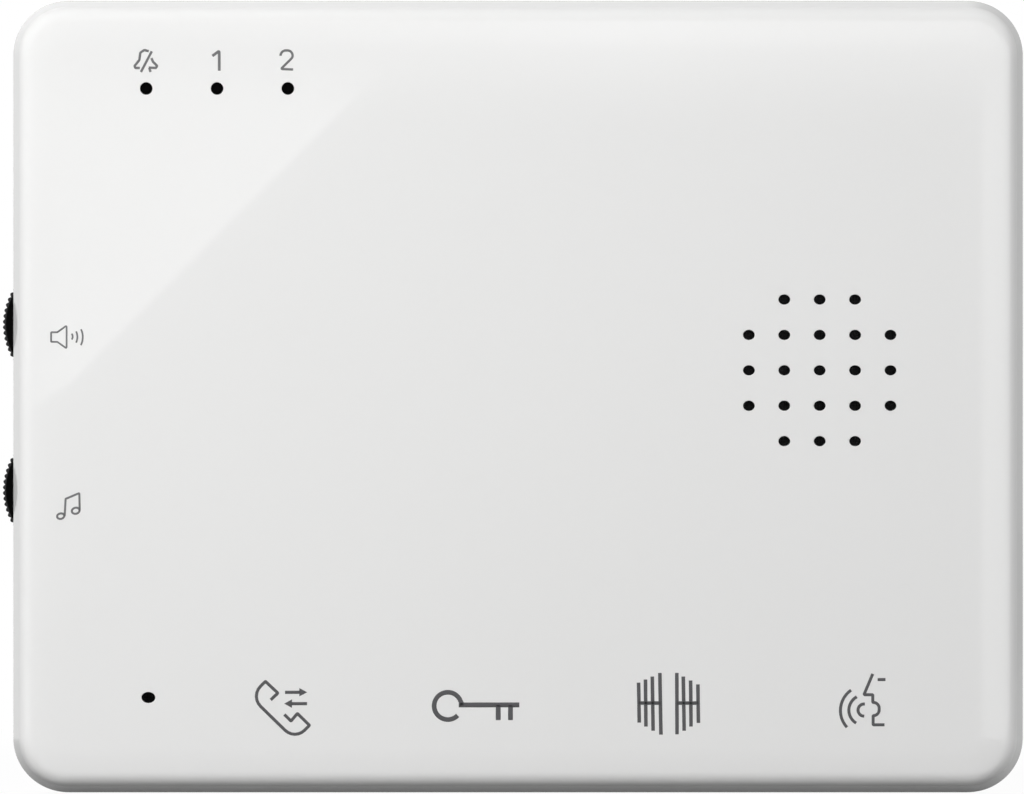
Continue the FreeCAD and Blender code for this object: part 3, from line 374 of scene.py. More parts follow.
# colour, its darker share, roughness, mould grain, bump and its depth in mm, then flow marks and gloss
plastics = {
    "coverWhite": ((0.79, 0.79, 0.785), 0.995, (0.015, 0.03), 300.0, 0.01, 0.01, 25.0),
    "shellWhite": ((0.76, 0.76, 0.752), 0.98, (0.38, 0.48), 2600.0, 0.35, 0.03),
    "wheelBlack": ((0.0015, 0.0015, 0.0015), 0.7, (0.42, 0.58), 3000.0, 0.3, 0.02, 60.0, 0.03),
    "inkDark": ((0.084, 0.083, 0.087), 0.93, (0.3, 0.4), 4000.0, 0.1, 0.005),
    "inkGrey": ((0.15, 0.15, 0.152), 0.95, (0.3, 0.4), 4000.0, 0.1, 0.005),
    "partBlack": ((0.02, 0.02, 0.021), 0.8, (0.35, 0.5), 3200.0, 0.3, 0.02),
    "guideSmoked": ((0.001, 0.001, 0.001), 0.9, (0.2, 0.3), 200.0, 0.05, 0.02, 60.0, 0.02),
    "lampResin": ((0.72, 0.7, 0.58), 0.85, (0.1, 0.2), 900.0, 0.1, 0.02),
    "terminalGreen": ((0.035, 0.19, 0.075), 0.85, (0.32, 0.42), 2400.0, 0.25, 0.02),
    "switchBlue": ((0.02, 0.085, 0.33), 0.85, (0.28, 0.4), 2400.0, 0.2, 0.02),
    "leverWhite": ((0.8, 0.79, 0.75), 0.95, (0.25, 0.35), 2000.0, 0.15, 0.02),
    "markWhite": ((0.8, 0.8, 0.78), 0.93, (0.5, 0.6), 5000.0, 0.2, 0.005),
    "canSleeve": ((0.02, 0.025, 0.06), 0.85, (0.2, 0.35), 1500.0, 0.1, 0.01),
    "leadRed": ((0.38, 0.02, 0.015), 0.85, (0.35, 0.45), 1800.0, 0.15, 0.02),
    "softRubber": ((0.025, 0.025, 0.025), 0.75, (0.7, 0.85), 2500.0, 0.5, 0.03),
    "foamGrey": ((0.045, 0.045, 0.047), 0.4, (0.85, 0.98), 2500.0, 1.0, 0.1, 3500.0),
    "conePaper": ((0.05, 0.05, 0.052), 0.6, (0.75, 0.9), 1800.0, 0.8, 0.06, 900.0),
    "ferrite": ((0.045, 0.045, 0.05), 0.6, (0.45, 0.65), 1600.0, 0.5, 0.04, 700.0),
    "tapeWhite": ((0.72, 0.72, 0.68), 0.9, (0.55, 0.7), 2200.0, 0.6, 0.03, 900.0),
    "traceGreen": ((0.06, 0.23, 0.08), 0.8, (0.25, 0.35), 1500.0, 0.2, 0.01, 400.0),
}
# light and dark colour, roughness, patches, crystals and their share, then how the patches are stretched
metals = {
    "sheetZinc": ((0.66, 0.67, 0.69), (0.58, 0.59, 0.61), (0.28, 0.42), 60.0, 700.0, 0.2, (6, 6, 1)),
    "screwZinc": ((0.62, 0.62, 0.63), (0.42, 0.42, 0.43), (0.2, 0.42), 500.0, 1500.0, 0.2),
    "capsuleCan": ((0.78, 0.78, 0.79), (0.6, 0.6, 0.61), (0.18, 0.36), 300.0, 1000.0, 0.2),
    "tinned": ((0.72, 0.71, 0.68), (0.5, 0.49, 0.46), (0.2, 0.45), 700.0, 1500.0, 0.3),
    "solderTin": ((0.66, 0.66, 0.68), (0.45, 0.45, 0.47), (0.12, 0.4), 1200.0, 2000.0, 0.3),
    "copperWire": ((0.72, 0.36, 0.17), (0.45, 0.18, 0.08), (0.22, 0.42), 800.0, 900.0, 0.2, (1, 12, 1)),
}
boardLook = {"dark": (0.012, 0.085, 0.03), "light": (0.02, 0.125, 0.045), "flow": 90.0, "rough": (0.2, 0.34),
             "weave": 9000.0, "bump": 0.15, "depth": 0.01, "ior": 1.55}
clothLook = {"dark": (0.001, 0.001, 0.001), "light": (0.008, 0.008, 0.009), "gap": -0.6, "rough": 0.9,
             "weave": 16000.0, "bump": 0.6, "depth": 0.05}
for name, look in plastics.items():
    plastic(name, *look)
for name, look in metals.items():
    metal(name, *look)
boardFinish("boardGreen", boardLook)
clothFinish("clothBlack", clothLook)

levers = ["code_lever_%d" % number for number in range(1, 9)]
wornBy = {
    "coverWhite": "front_cover", "shellWhite": "rear_shell", "boardGreen": "main_board touch_board",
    "sheetZinc": "wall_bracket speaker_basket speaker_front_plate speaker_yoke speaker_clamp "
                 "speech_pot_cover ring_pot_cover",
    "screwZinc": "case_screws small_screws terminal_screws speech_wheel_screw ring_wheel_screw",
    "tinned": "pot_pins mic_pins chip_legs terminal_cages jumper_pins",
    "partBlack": "speaker_tag touch_header touch_socket signal_chips jumper_base jumper_cap "
                 "speech_pot_base ring_pot_base",
    "leverWhite": "speaker_socket speaker_plug speech_pot_rotor ring_pot_rotor " + " ".join(levers),
    "wheelBlack": "speech_volume_wheel ring_volume_wheel", "guideSmoked": "light_guide",
    "lampResin": "indicator_lamps", "softRubber": "mic_boot", "capsuleCan": "mic_capsule",
    "foamGrey": "speaker_gasket", "clothBlack": "speaker_cloth", "conePaper": "speaker_cone",
    "ferrite": "speaker_magnet choke_core", "leadRed": "speaker_leads", "tapeWhite": "touch_tape",
    "copperWire": "touch_pads choke_winding", "canSleeve": "filter_capacitors",
    "terminalGreen": "terminal_block", "switchBlue": "code_switch",
}
nodeLooks = {name: look for look, names in wornBy.items() for name in names.split()}
for name, obj in nodes.items():
    obj.data.materials.clear()
    obj.data.materials.append(looks[nodeLooks[name]])
print("finishes:", len(looks))


# camera, stage and light

camera = {"lens": 600.0, "frameWidth": 144.6, "x": -0.854, "z": -0.06, "face": -21.0, "clipEnd": 100.0}
cameraData = assign(bpy.data.cameras.new("camera"), lens=camera["lens"], clip_end=camera["clipEnd"])
distance = camera["frameWidth"] * camera["lens"] / cameraData.sensor_width
scene.camera = placed("camera", cameraData)
scene.camera.location = Vector((camera["x"], camera["face"] - distance, camera["z"])) * mm
scene.camera.rotation_euler = (math.radians(90), 0, 0)
scene.view_settings.view_transform = "Standard"

# in metres; a ramp is (low, high, start, end), with True where it is smooth
stage = {
    "floorSize": 8.0, "floorGap": 0.00002, "floorGreys": (0.22, 0.95),
    # glossNear and glossReach paint a shade on the floor round the piece, as reflections see it
    "shadow": (0.95, 1.0, 0.225, 0.45, True), "glossNear": 0.4, "glossReach": (0.1125, 0.45, True),
    "gloss": (1.0, 0.35, -0.02, 0.15), "front": (1.0, 0.0, 0.3, 0.6), "ceiling": (0.0, 1.0, 0.2, 0.5, True),
    "ceilingDim": 0.8, "ambient": (0.09, 0.16, -1.0, 1.0),
}
glossCard = {
    "distance": 0.3, "sides": (-0.6, 0.6, -0.75, 0.14), "edge": 65.1, "dim": 0.45,
    "over": (1.38, 0.52, 0.0, 0.06), "cornerUp": 0.0045, "cornerLean": 0.046, "rim": (0.6, 0.0, -0.33, -0.13),
    "top": (0.0, 1.0, 0.042, 0.061, True), "topFade": 0.75, "topGlow": (0.0, 1.8, -0.06, 0.015),
    "sideGlow": (0.0, 1.5, 0.067, 0.105, True),
}
# place, size and power
lights = {
    "key": ((-0.38, -0.52, 0.34), 0.28, 3.8),
    "front": ((0.25, -1.0, 0.4), 0.8, 4.4),
    "right": ((0.95, 0.05, 0.25), 0.5, 2.9),
    "left": ((-1.0, -0.3, 0.1), 0.4, 0.85),
    "rear": ((0.15, 0.75, 1.0), 0.6, 2.5),
    "behind": ((0.15, 1.1, 0.4), 0.6, 3.5),
    "rearLeft": ((-0.6, 0.85, 0.3), 0.5, 1.2),
}


def floorFinish():
    # grey to the light that it throws back, white to the eye, and it keeps the shadow; in reflections it is
    # painted darker round the piece
    material = bpy.data.materials.new("floor")
    tree = emptyTree(material)
    ray = addNode(tree, "ShaderNodeLightPath")
    place = coordinates(tree)
    away = vectorCalc("LENGTH", place)["Value"]
    share = ramp(away, *stage["shadow"])
    far = ramp(split(place)[0], *stage["gloss"])
    # near the piece reflections see less of the white: a painted shade round its foot, over the real shadow
    # that the grey keeps
    gloss = ramp(away, stage["glossNear"], far, *stage["glossReach"])
    seen = times(larger(ray["Is Camera Ray"], ray["Is Transmission Ray"]), share)
    seen = larger(seen, times(ray["Is Glossy Ray"], gloss))
    matt, pale = (addNode(tree, "ShaderNodeBsdfDiffuse", {"Color": (grey, grey, grey, 1)})[0]
                  for grey in stage["floorGreys"])
    eye = mixShaders(ray["Is Camera Ray"], matt, pale)
    white = addNode(tree, "ShaderNodeEmission", {"Strength": 1.0})[0]
    clear = addNode(tree, "ShaderNodeBsdfTransparent")[0]
    under = addNode(tree, "ShaderNodeNewGeometry")["Backfacing"]
    whole = mixShaders(under, mixShaders(seen, eye, white), clear)
    addNode(tree, "ShaderNodeOutputMaterial", {0: whole})
    return material


def makeGlossCard():
    # a big pale card that only shows in gloss: brighter above a 45 degree edge, and towards its top and right
    grow = 1 + glossCard["distance"] / (distance * mm)
    y = camera["face"] * mm - glossCard["distance"]
    left, right, low, high = glossCard["sides"]
    material = bpy.data.materials.new("glossCard")
    material.cycles.emission_sampling = "NONE"
    tree = emptyTree(material)
    across, _, up = split(coordinates(tree))
    beyond = calc("SUBTRACT", calc("SUBTRACT", up, across), glossCard["edge"] * mm * grow)
    # below the edge's end, at the left rim, the card grows bright only slowly
    past = calc("MULTIPLY_ADD", across, -glossCard["cornerLean"], up)
    past = calc("GREATER_THAN", past, glossCard["cornerUp"])
    rim = times(calc("SUBTRACT", 1.0, past), ramp(across, *glossCard["rim"]))
    over = calc("ADD", times(past, ramp(beyond, *glossCard["over"])), rim)
    over = times(calc("GREATER_THAN", beyond, 0.0), over)
    top = ramp(up, *glossCard["top"])
    over = times(over, calc("MULTIPLY_ADD", top, -glossCard["topFade"], 1.0))
    top = times(top, ramp(across, *glossCard["topGlow"]))
    side = ramp(across, *glossCard["sideGlow"])
    strength = calc("ADD", larger(over, larger(top, side)), glossCard["dim"])
    white = addNode(tree, "ShaderNodeEmission", {"Strength": strength})
    addNode(tree, "ShaderNodeOutputMaterial", {0: white[0]})
    card = panel("glossCard", [(left, y, low), (right, y, low), (right, y, high), (left, y, high)], material)
    return assign(card, visible_camera=False, visible_diffuse=False, visible_transmission=False,
                  visible_volume_scatter=False, visible_shadow=False)


def makeStage():
    half = stage["floorSize"] / 2
    low = cadBox[0].z - stage["floorGap"]
    floor = panel("floor", [(-half, -half, low), (half, -half, low), (half, half, low), (-half, half, low)],
                  floorFinish())
    card = makeGlossCard()

    scene.world = bpy.data.worlds.new("studio")
    tree = emptyTree(scene.world)
    ray = addNode(tree, "ShaderNodeLightPath")
    x, y, z = split(coordinates(tree, "Generated"))
    dimmed = times(ramp(y, *stage["front"]), ramp(z, *stage["ceiling"]))
    dimmed = times(dimmed, stage["ceilingDim"])
    mirrored = times(ramp(x, *stage["gloss"]), calc("SUBTRACT", 1.0, dimmed))
    seen = larger(times(ray["Is Glossy Ray"], mirrored), ray["Is Transmission Ray"])
    seen = larger(ray["Is Camera Ray"], seen)
    soft, white = (addNode(tree, "ShaderNodeBackground", {"Color": (1, 1, 1, 1), "Strength": level})[0]
                   for level in (ramp(z, *stage["ambient"]), 1.0))
    addNode(tree, "ShaderNodeOutputWorld", {0: mixShaders(seen, soft, white)})

    for name, (place, size, power) in lights.items():
        data = assign(bpy.data.lights.new(name, "AREA"), shape="SQUARE", size=size, energy=power)
        turn = (-Vector(place)).to_track_quat("-Z", "Y").to_euler()
        assign(placed(name, data), location=place, rotation_euler=turn, visible_glossy=False)


makeStage()
print("stage:", len(lights), "lights")


# front cover

casePlaces = [(62.7, 47.25), (-62.7, 47.25), (-62.7, -47.25), (62.7, -47.25)]
boardPlaces = [(-62.65, 28.7), (-62.65, -31.75), (14.1, 44.85), (14.1, -30.95)]
clampPlaces = [(42.6, 28.7), (42.6, -21.3)]
wheelPlaces = {"speech": (-63.45, 10.2), "ring": (-63.45, -13.25)}
speakerPlace = (42.6, 3.7)
micPlace = (-52.2, -42.5)
cover = {
    "width": 143.4, "height": 112.5, "corner": 8.0, "wall": 2.2, "front": -20.985, "seam": -6.0,
    "lean": 0.27, "bend": -16.0, "bendRadius": 3.0, "draft": 1.557, "edge": 2.3, "crownWidth": 3.5,
    "crownDrop": 0.405, "crownRadius": 30.0, "insideFront": -18.8, "insideDraft": 0.952, "insideEdge": 1.5,
    "cornerSteps": 24, "outerStep": 8.0, "innerStep": 15.0,
}
coverInside = {
    "root": 0.4,  # how far everything reaches into the wall
    # places, top, radius, and radius and depth of the hole
    "posts": [(casePlaces, -4.5, 3.5, 1.5, 12.0), (boardPlaces, -9.0, 3.0, 1.15, 7.0),
              (clampPlaces, -7.6, 3.0, 1.15, 7.0)],
    # place, outer and inner radius, height
    "rings": [(speakerPlace, 21.1, 20.1, 4.0), (micPlace, 6.1, 5.1, 4.0)],
    "stakes": [(-47.5, 43.5), (-37.5, 43.5)], "stakeRadius": 0.6, "stakeTop": -17.0,
    "ribSpan": [-64.0, 22.5], "ribHeights": [-30.0, 34.0], "ribPlaces": [-44.0, -14.0], "ribWidth": 1.0,
    "ribTop": -17.3,
}
coverHoles = {
    "lampPlaces": [(-52.5, 43.5), (-42.5, 43.5), (-32.5, 43.5)], "lampWidth": 1.78,
    "micWidth": 1.96, "micHeight": 1.56, "grillePitch": 5.0, "grilleReach": 3.5,
    "holeWidth": 1.66, "holeHeight": 1.44, "lead": 0.06, "past": 1.0,
    "slotRadius": 9.9, "slotFront": -15.5, "slotBack": -11.9,
}


def perforationTree():
    # copies a plug to those points of a five by five grid that lie few enough steps from its middle
    tree, given = shapeTree("perforation", Pitch="Float", Reach="Float", Place="Vector")
    span = times(given["Pitch"], 4.0)
    grid = addNode(tree, "GeometryNodeMeshGrid",
                   {"Size X": span, "Size Y": span, "Vertices X": 5, "Vertices Y": 5})
    upright = addNode(tree, "GeometryNodeTransform", {"Geometry": grid[0], "Translation": given["Place"],
                                                      "Rotation": (math.radians(90), 0, 0)})
    away = vectorCalc("SUBTRACT", position(tree), given["Place"])[0]
    size = split(vectorCalc("ABSOLUTE", away)[0])
    far = calc("GREATER_THAN", calc("ADD", size[0], size[2]), times(given["Reach"], given["Pitch"]))
    kept = addNode(tree, "GeometryNodeDeleteGeometry", {"Geometry": upright[0], "Selection": far})
    copies = addNode(tree, "GeometryNodeInstanceOnPoints", {"Points": kept[0], "Instance": given["Geometry"]})
    return finishTree(tree, copies[0], given)


def holeCutter(bm, x, z, width, height):
    # an oval plug that opens a little at the front
    front, wide = cover["front"], width / 2
    lead, past = coverHoles["lead"], coverHoles["past"]
    back = cover["insideFront"] + past
    points = [(0, front - past), (wide + lead + past, front - past), (wide, front + lead), (wide, back),
              (0, back)]
    lathe(bm, points, 24, x, z, height / width)


def makeCover():
    bm = bmesh.new()
    corner, front, back = cover["corner"], cover["front"], cover["insideFront"]
    seam, bend = cover["seam"], cover["bend"]
    side, wall = corner - cover["draft"], corner - cover["wall"]
    outer = roundedLine([(0, front), (side - cover["crownWidth"], front), (side, front + cover["crownDrop"]),
                         (corner - cover["lean"], bend), (corner, seam)],
                        [cover["crownRadius"], cover["edge"], cover["bendRadius"]], cover["outerStep"])[1:]
    inner = roundedLine([(wall, seam), (wall, bend), (wall - cover["insideDraft"], back), (0, back)],
                        [0, cover["insideEdge"]], cover["innerStep"])[:-1]
    rings = [roundedRing(bm, cover["width"], cover["height"], corner, u, y, cover["cornerSteps"])
             for u, y in outer + inner]
    bridge(bm, rings)
    bm.faces.new(rings[0])
    bm.faces.new(rings[-1])
    shell = newPiece("frontCover", bm, "coverWhite")

    bm = bmesh.new()
    inside = coverInside
    start = back - inside["root"]
    for places, top, radius, hole, depth in inside["posts"]:
        for x, z in places:
            lathe(bm, [(0, start), (radius, start), (radius, top), (hole, top), (hole, top - depth),
                       (0, top - depth)], 32, x, z)
    for place, wide, narrow, height in inside["rings"]:
        top = back + height
        lathe(bm, [(narrow, start), (wide, start), (wide, top), (narrow, top)], 64, *place)
    for place in inside["stakes"]:
        disc(bm, inside["stakeRadius"], start, inside["stakeTop"], 16, *place)
    half = inside["ribWidth"] / 2
    for z in inside["ribHeights"]:
        box(bm, *inside["ribSpan"], start, inside["ribTop"], z - half, z + half)
    for x in inside["ribPlaces"]:
        box(bm, x - half, x + half, start, inside["ribTop"], *inside["ribHeights"])
    boolean(shell, newPiece("coverBosses", bm), "UNION")

    holes = coverHoles
    bm = bmesh.new()
    for place in holes["lampPlaces"]:
        holeCutter(bm, *place, holes["lampWidth"], holes["lampWidth"])
    holeCutter(bm, *micPlace, holes["micWidth"], holes["micHeight"])
    for place in wheelPlaces.values():
        disc(bm, holes["slotRadius"], holes["slotFront"], holes["slotBack"], 96, *place)
    boolean(shell, newPiece("coverCuts", bm), "DIFFERENCE")

    bm = bmesh.new()
    holeCutter(bm, 0, 0, holes["holeWidth"], holes["holeHeight"])
    plug = newPiece("grillePlug", bm)
    x, z = speakerPlace
    grille = runTree(perforationTree(), "grilleCuts", plug.data, "coverWhite", Reach=holes["grilleReach"],
                     Pitch=holes["grillePitch"] * mm, Place=(x * mm, 0, z * mm))
    bpy.data.objects.remove(plug)
    boolean(shell, grille, "DIFFERENCE")
    settle(shell)
    onBody(shell, "case", "front_cover")
    print("front cover:", len(shell.data.polygons), "faces")


makeCover()


# what is printed on the cover

# millimetres from each symbol's own centre; a third number is the radius of that corner
symbols = {
    "handset": {"place": (-33.33, -43.62), "width": 0.45, "lines": [
        [(-1.6, 0.79), (-0.59, 1.75), (-2.33, 3.4), (-4.49, 1.3, 2.0), (1.83, -4.86, 1.95), (3.88, -2.8),
         (2.17, -1.13), (1.27, -2.2), (0.33, -1.27)],
        [(0.42, 1.86), (2.6, 1.86)], [(1.3, 0.26), (3.54, 0.26)]],
        "heads": [[(2.44, 2.46), (3.56, 1.87), (2.44, 1.28)], [(1.41, 0.87), (0.3, 0.26), (1.41, -0.35)]]},
    "keyShaft": {"place": (-6.08, -43.55), "width": 0.69, "lines": [
        [(-2.3, 0.01), (6.26, 0.01)], [(3.28, 0.0), (3.28, -2.14)], [(5.01, 0.0), (5.01, -2.14)]]},
    "keyRing": {"place": (-9.92, -43.68), "width": 0.66, "lines": [], "ring": (1.93, -44.0, -330.0),
                "tail": (2.05, 0.14)},
    "gate": {"place": (21.21, -43.41), "width": 0.51, "lines": [
        [(-4.19, 3.02), (-4.09, -2.63)], [(-3.22, 3.46), (-3.15, -3.19)], [(-2.26, 3.88), (-2.13, -3.78)],
        [(-1.19, 4.39), (-1.03, -4.33)], [(-4.15, 0.13), (-1.1, 0.13)],
        [(1.21, 4.39), (1.24, -4.29)], [(2.12, 3.88), (2.25, -3.78)], [(3.16, 3.32), (3.22, -3.19)],
        [(4.18, 2.77), (4.26, -2.68)], [(1.23, 0.13), (4.24, 0.13)]]},
    "talk": {"place": (48.57, -43.41), "width": 0.43, "lines": [
        [(1.52, 4.26), (0.28, 1.31), (1.52, 1.31), (1.52, 0.24), (2.42, 0.1, 0.8), (2.42, -1.6, 0.8),
         (1.57, -1.65), (1.57, -2.94), (3.18, -2.94)], [(2.2, 3.45), (3.32, 3.45)]],
        "arcs": [[(0.41, 0.0), (-0.56, -0.8), (0.31, -1.72)], [(-0.73, 1.02), (-1.85, -0.71), (-0.83, -2.7)],
                 [(-1.54, 1.96), (-3.04, -0.71), (-2.12, -3.3)]]},
    "loudspeaker": {"place": (-63.67, 8.41), "width": 0.25, "ink": "inkGrey", "lines": [
        [(-2.27, 0.0), (-2.27, 0.68), (-1.38, 0.68), (-0.08, 1.62), (-0.08, -1.62), (-1.38, -0.68),
         (-2.27, -0.68), (-2.27, 0.0)]],
        "arcs": [[(0.62, 0.47), (0.78, 0.07), (0.64, -0.35)], [(1.26, 0.8), (1.44, 0.01), (1.26, -0.8)],
                 [(1.95, 1.1), (2.2, 0.0), (1.93, -1.15)]]},
    "notes": {"place": (-63.57, -15.47), "width": 0.3, "ink": "inkGrey", "lines": [
        [(-0.46, -1.42), (-0.32, 1.02), (1.62, 1.85), (1.67, -0.62)]],
        "rings": [(-1.02, -1.41, 0.5, 0.38), (1.1, -0.65, 0.54, 0.42)]},
    "bell": {"place": (-52.55, 47.45), "width": 0.35, "ink": "inkGrey", "lines": [
        [(0.4, 1.31), (-0.23, 1.5, 0.3), (-0.8, 1.1, 0.3), (-0.93, 0.08, 0.3), (-1.2, -0.27),
         (-1.6, -0.75, 0.1), (-1.5, -1.04, 0.1), (-0.85, -1.05)], [(0.83, 1.31), (-0.71, -1.62)],
        [(0.78, 0.35), (1.0, -0.18, 0.3), (1.58, -0.75, 0.1), (1.4, -1.04, 0.1), (0.4, -1.0)],
        [(0.48, -1.03), (0.65, -1.62)]]},
    "one": {"place": (-42.55, 47.45), "width": 0.4, "ink": "inkGrey", "lines": [
        [(-0.62, 0.65), (0.35, 1.36), (0.35, -1.44)]]},
    "two": {"place": (-32.66, 47.45), "width": 0.34, "ink": "inkGrey", "lines": [
        [(-0.86, 0.68), (-0.86, 1.43, 0.7), (0.82, 1.43, 0.7), (0.82, 0.45, 0.6), (-0.84, -1.2),
         (0.9, -1.26)]]},
}
printing = {"front": -21.0, "thickness": 0.02, "corner": 0.1, "cornerSteps": 6, "arcSteps": 12,
            "ringSteps": 40, "noteSteps": 24, "noteLean": 0.12, "noteRise": 0.25}


def strokeTree():
    # turns lines into flat printed strokes of their own width
    tree, given = shapeTree("printedStroke", Steps="Int", Thickness="Float", Level="Float")
    bend, width = (addNode(tree, "GeometryNodeInputNamedAttribute", {"Name": name}, data_type="FLOAT")[0]
                   for name in ("bend", "halfWidth"))
    line = addNode(tree, "GeometryNodeMeshToCurve", {"Mesh": given["Geometry"]})
    corners = {"Curve": line[0], "Count": given["Steps"], "Radius": bend, "Limit Radius": True}
    bent = addNode(tree, "GeometryNodeFilletCurve", corners, mode="POLY")
    circle = addNode(tree, "GeometryNodeCurvePrimitiveCircle", {"Resolution": 8, "Radius": 1.0})
    tube = addNode(tree, "GeometryNodeCurveToMesh", {"Curve": bent[0], "Profile Curve": circle[0],
                                                     "Scale": width, "Fill Caps": True})
    x, y, z = split(position(tree))
    half = calc("DIVIDE", given["Thickness"], 2.0)
    flat = larger(calc("MINIMUM", y, half), times(half, -1.0))
    place = join(x, calc("ADD", flat, given["Level"]), z)
    laid = addNode(tree, "GeometryNodeSetPosition", {"Geometry": tube[0], "Position": place})
    return finishTree(tree, laid[0], given)


def arcThrough(a, b, c):
    # points on the circle through three
    a, b, c = Vector(a), Vector(b), Vector(c)
    d = 2 * (a.x * (b.y - c.y) + b.x * (c.y - a.y) + c.x * (a.y - b.y))
    aa, bb, cc = a.length_squared, b.length_squared, c.length_squared
    centre = Vector(((aa * (b.y - c.y) + bb * (c.y - a.y) + cc * (a.y - b.y)) / d,
                     (aa * (c.x - b.x) + bb * (a.x - c.x) + cc * (b.x - a.x)) / d))
    turn = (b - centre).angle_signed(a - centre) + (c - centre).angle_signed(b - centre)
    steps = printing["arcSteps"]
    return [tuple(centre + Matrix.Rotation(turn * i / steps, 2) @ (a - centre)) for i in range(steps + 1)]


def strokeMesh(name, lines, corner):
    # lines: [(points, width)], in millimetres, as loose edges with their width and bends
    verts, edges, widths, bends = [], [], [], []
    for points, width in lines:
        first = len(verts)
        for point in points:
            verts.append((point[0] * mm, 0, point[1] * mm))
            widths.append(width / 2 * mm)
            bends.append((point[2] if len(point) > 2 else corner) * mm)
        edges += [(i, i + 1) for i in range(first, len(verts) - 1)]
    mesh = bpy.data.meshes.new(name)
    mesh.from_pydata(verts, edges, [])
    for label, values in (("halfWidth", widths), ("bend", bends)):
        mesh.attributes.new(label, "FLOAT", "POINT").data.foreach_set("value", values)
    return mesh


def drawn(name, lines, thickness, level, look, slot, corner=0.0, steps=2):
    # strokes that stand on the level, towards +Y
    piece = runTree(strokes, name, strokeMesh(name, lines, corner), look, Steps=steps,
                    Thickness=thickness * mm, Level=(level + thickness / 2) * mm)
    return onBody(piece, slot)


def symbolLines(symbol):
    lines = symbol["lines"] + [arcThrough(*arc) for arc in symbol.get("arcs", [])]
    if "ring" in symbol:
        radius, start, end = symbol["ring"]
        steps = printing["ringSteps"]
        angles = [math.radians(start + (end - start) * i / steps) for i in range(steps + 1)]
        lines.append([(radius * math.cos(a), radius * math.sin(a)) for a in angles] + [symbol["tail"]])
    lean, rise, steps = printing["noteLean"], printing["noteRise"], printing["noteSteps"]
    angles = [2 * math.pi * i / steps for i in range(steps + 1)]
    for x, z, wide, high in symbol.get("rings", []):
        lines.append([(x + wide * math.cos(a) - lean * math.sin(a) * wide,
                       z + high * math.sin(a) + rise * math.cos(a) * high) for a in angles])
    px, pz = symbol["place"]
    return [([(p[0] + px, p[1] + pz, *p[2:]) for p in line], symbol["width"]) for line in lines]


def makePrint():
    thickness = printing["thickness"]
    levels = printing["front"], printing["front"] + thickness
    for ink in ("inkDark", "inkGrey"):
        chosen = [s for s in symbols.values() if s.get("ink", "inkDark") == ink]
        lines = [line for symbol in chosen for line in symbolLines(symbol)]
        piece = drawn("print_" + ink, lines, thickness, printing["front"], ink, "case", printing["corner"],
                      printing["cornerSteps"])
        bm = bmesh.new()
        bm.from_mesh(piece.data)
        for symbol in chosen:
            x, z = symbol["place"]
            for head in symbol.get("heads", []):
                sides = [[bm.verts.new(Vector((x + p[0], level, z + p[1])) * mm) for p in head]
                         for level in levels]
                bm.faces.new(sides[0])
                bm.faces.new(sides[1][::-1])
                bridge(bm, sides)
        bmesh.ops.recalc_face_normals(bm, faces=bm.faces)
        bm.to_mesh(piece.data)
        bm.free()
        print("print:", ink, len(piece.data.polygons), "faces")


strokes = strokeTree()
makePrint()


# volume wheels

wheel = {
    "radius": 9.5, "teeth": 72, "depth": 0.3, "toothShape": 1.6, "stepsPerTooth": 8, "bevel": 0.35,
    "front": -15.1, "back": -12.3, "dish": 6.8, "dishFloor": -14.3, "bore": 1.75, "dishFillet": 0.4,
    # the rim's start, fade and colour paint a sheen on the knurl, a painted highlight
    "edgeRound": 0.12, "edgeStep": 30.0, "sheenStart": 9.0, "sheenFade": 0.1, "rimSheenColour": (0.03, 0.03, 0.031, 1),
}


def knurlTree():
    # presses rounded teeth into whatever lies near the rim of a disc that turns about Y
    tree, given = shapeTree("knurl", Radius="Float", Depth="Float", Teeth="Float", Start="Float")
    x, y, z = split(position(tree))
    reach = calc("SQRT", calc("MULTIPLY_ADD", x, x, times(z, z)))
    turns = calc("DIVIDE", given["Teeth"], 2 * math.pi)
    pitch = calc("FRACT", times(calc("ARCTAN2", z, x), turns))
    aside = calc("ABSOLUTE", calc("MULTIPLY_ADD", pitch, 2.0, -1.0))
    shape = calc("POWER", aside, wheel["toothShape"])
    share = ramp(reach, 0.0, 1.0, given["Start"], given["Radius"])
    drop = times(times(shape, share), given["Depth"])
    scale = calc("SUBTRACT", 1.0, calc("DIVIDE", drop, reach))
    moved = join(times(x, scale), y, times(z, scale))
    knurled = addNode(tree, "GeometryNodeSetPosition", {"Geometry": given["Geometry"], "Position": moved})
    return finishTree(tree, knurled[0], given)


def paintRimSheen():
    # paints a sheen on the knurl: its colour is lighter than the black of the wheel's face, a painted
    # highlight that shows the teeth
    tree = looks["wheelBlack"].node_tree
    colour = tree.nodes["Principled BSDF"].inputs["Base Color"]
    flat = vectorCalc("MULTIPLY", coordinates(tree), (1, 0, 1))[0]
    far = [vectorCalc("DISTANCE", flat, (x * mm, 0, z * mm))["Value"] for x, z in wheelPlaces.values()]
    start = wheel["sheenStart"]
    share = ramp(calc("MINIMUM", *far), 0.0, 1.0, start * mm, (start + wheel["sheenFade"]) * mm)
    tree.links.new(mixed(share, colour.links[0].from_socket, wheel["rimSheenColour"]), colour)


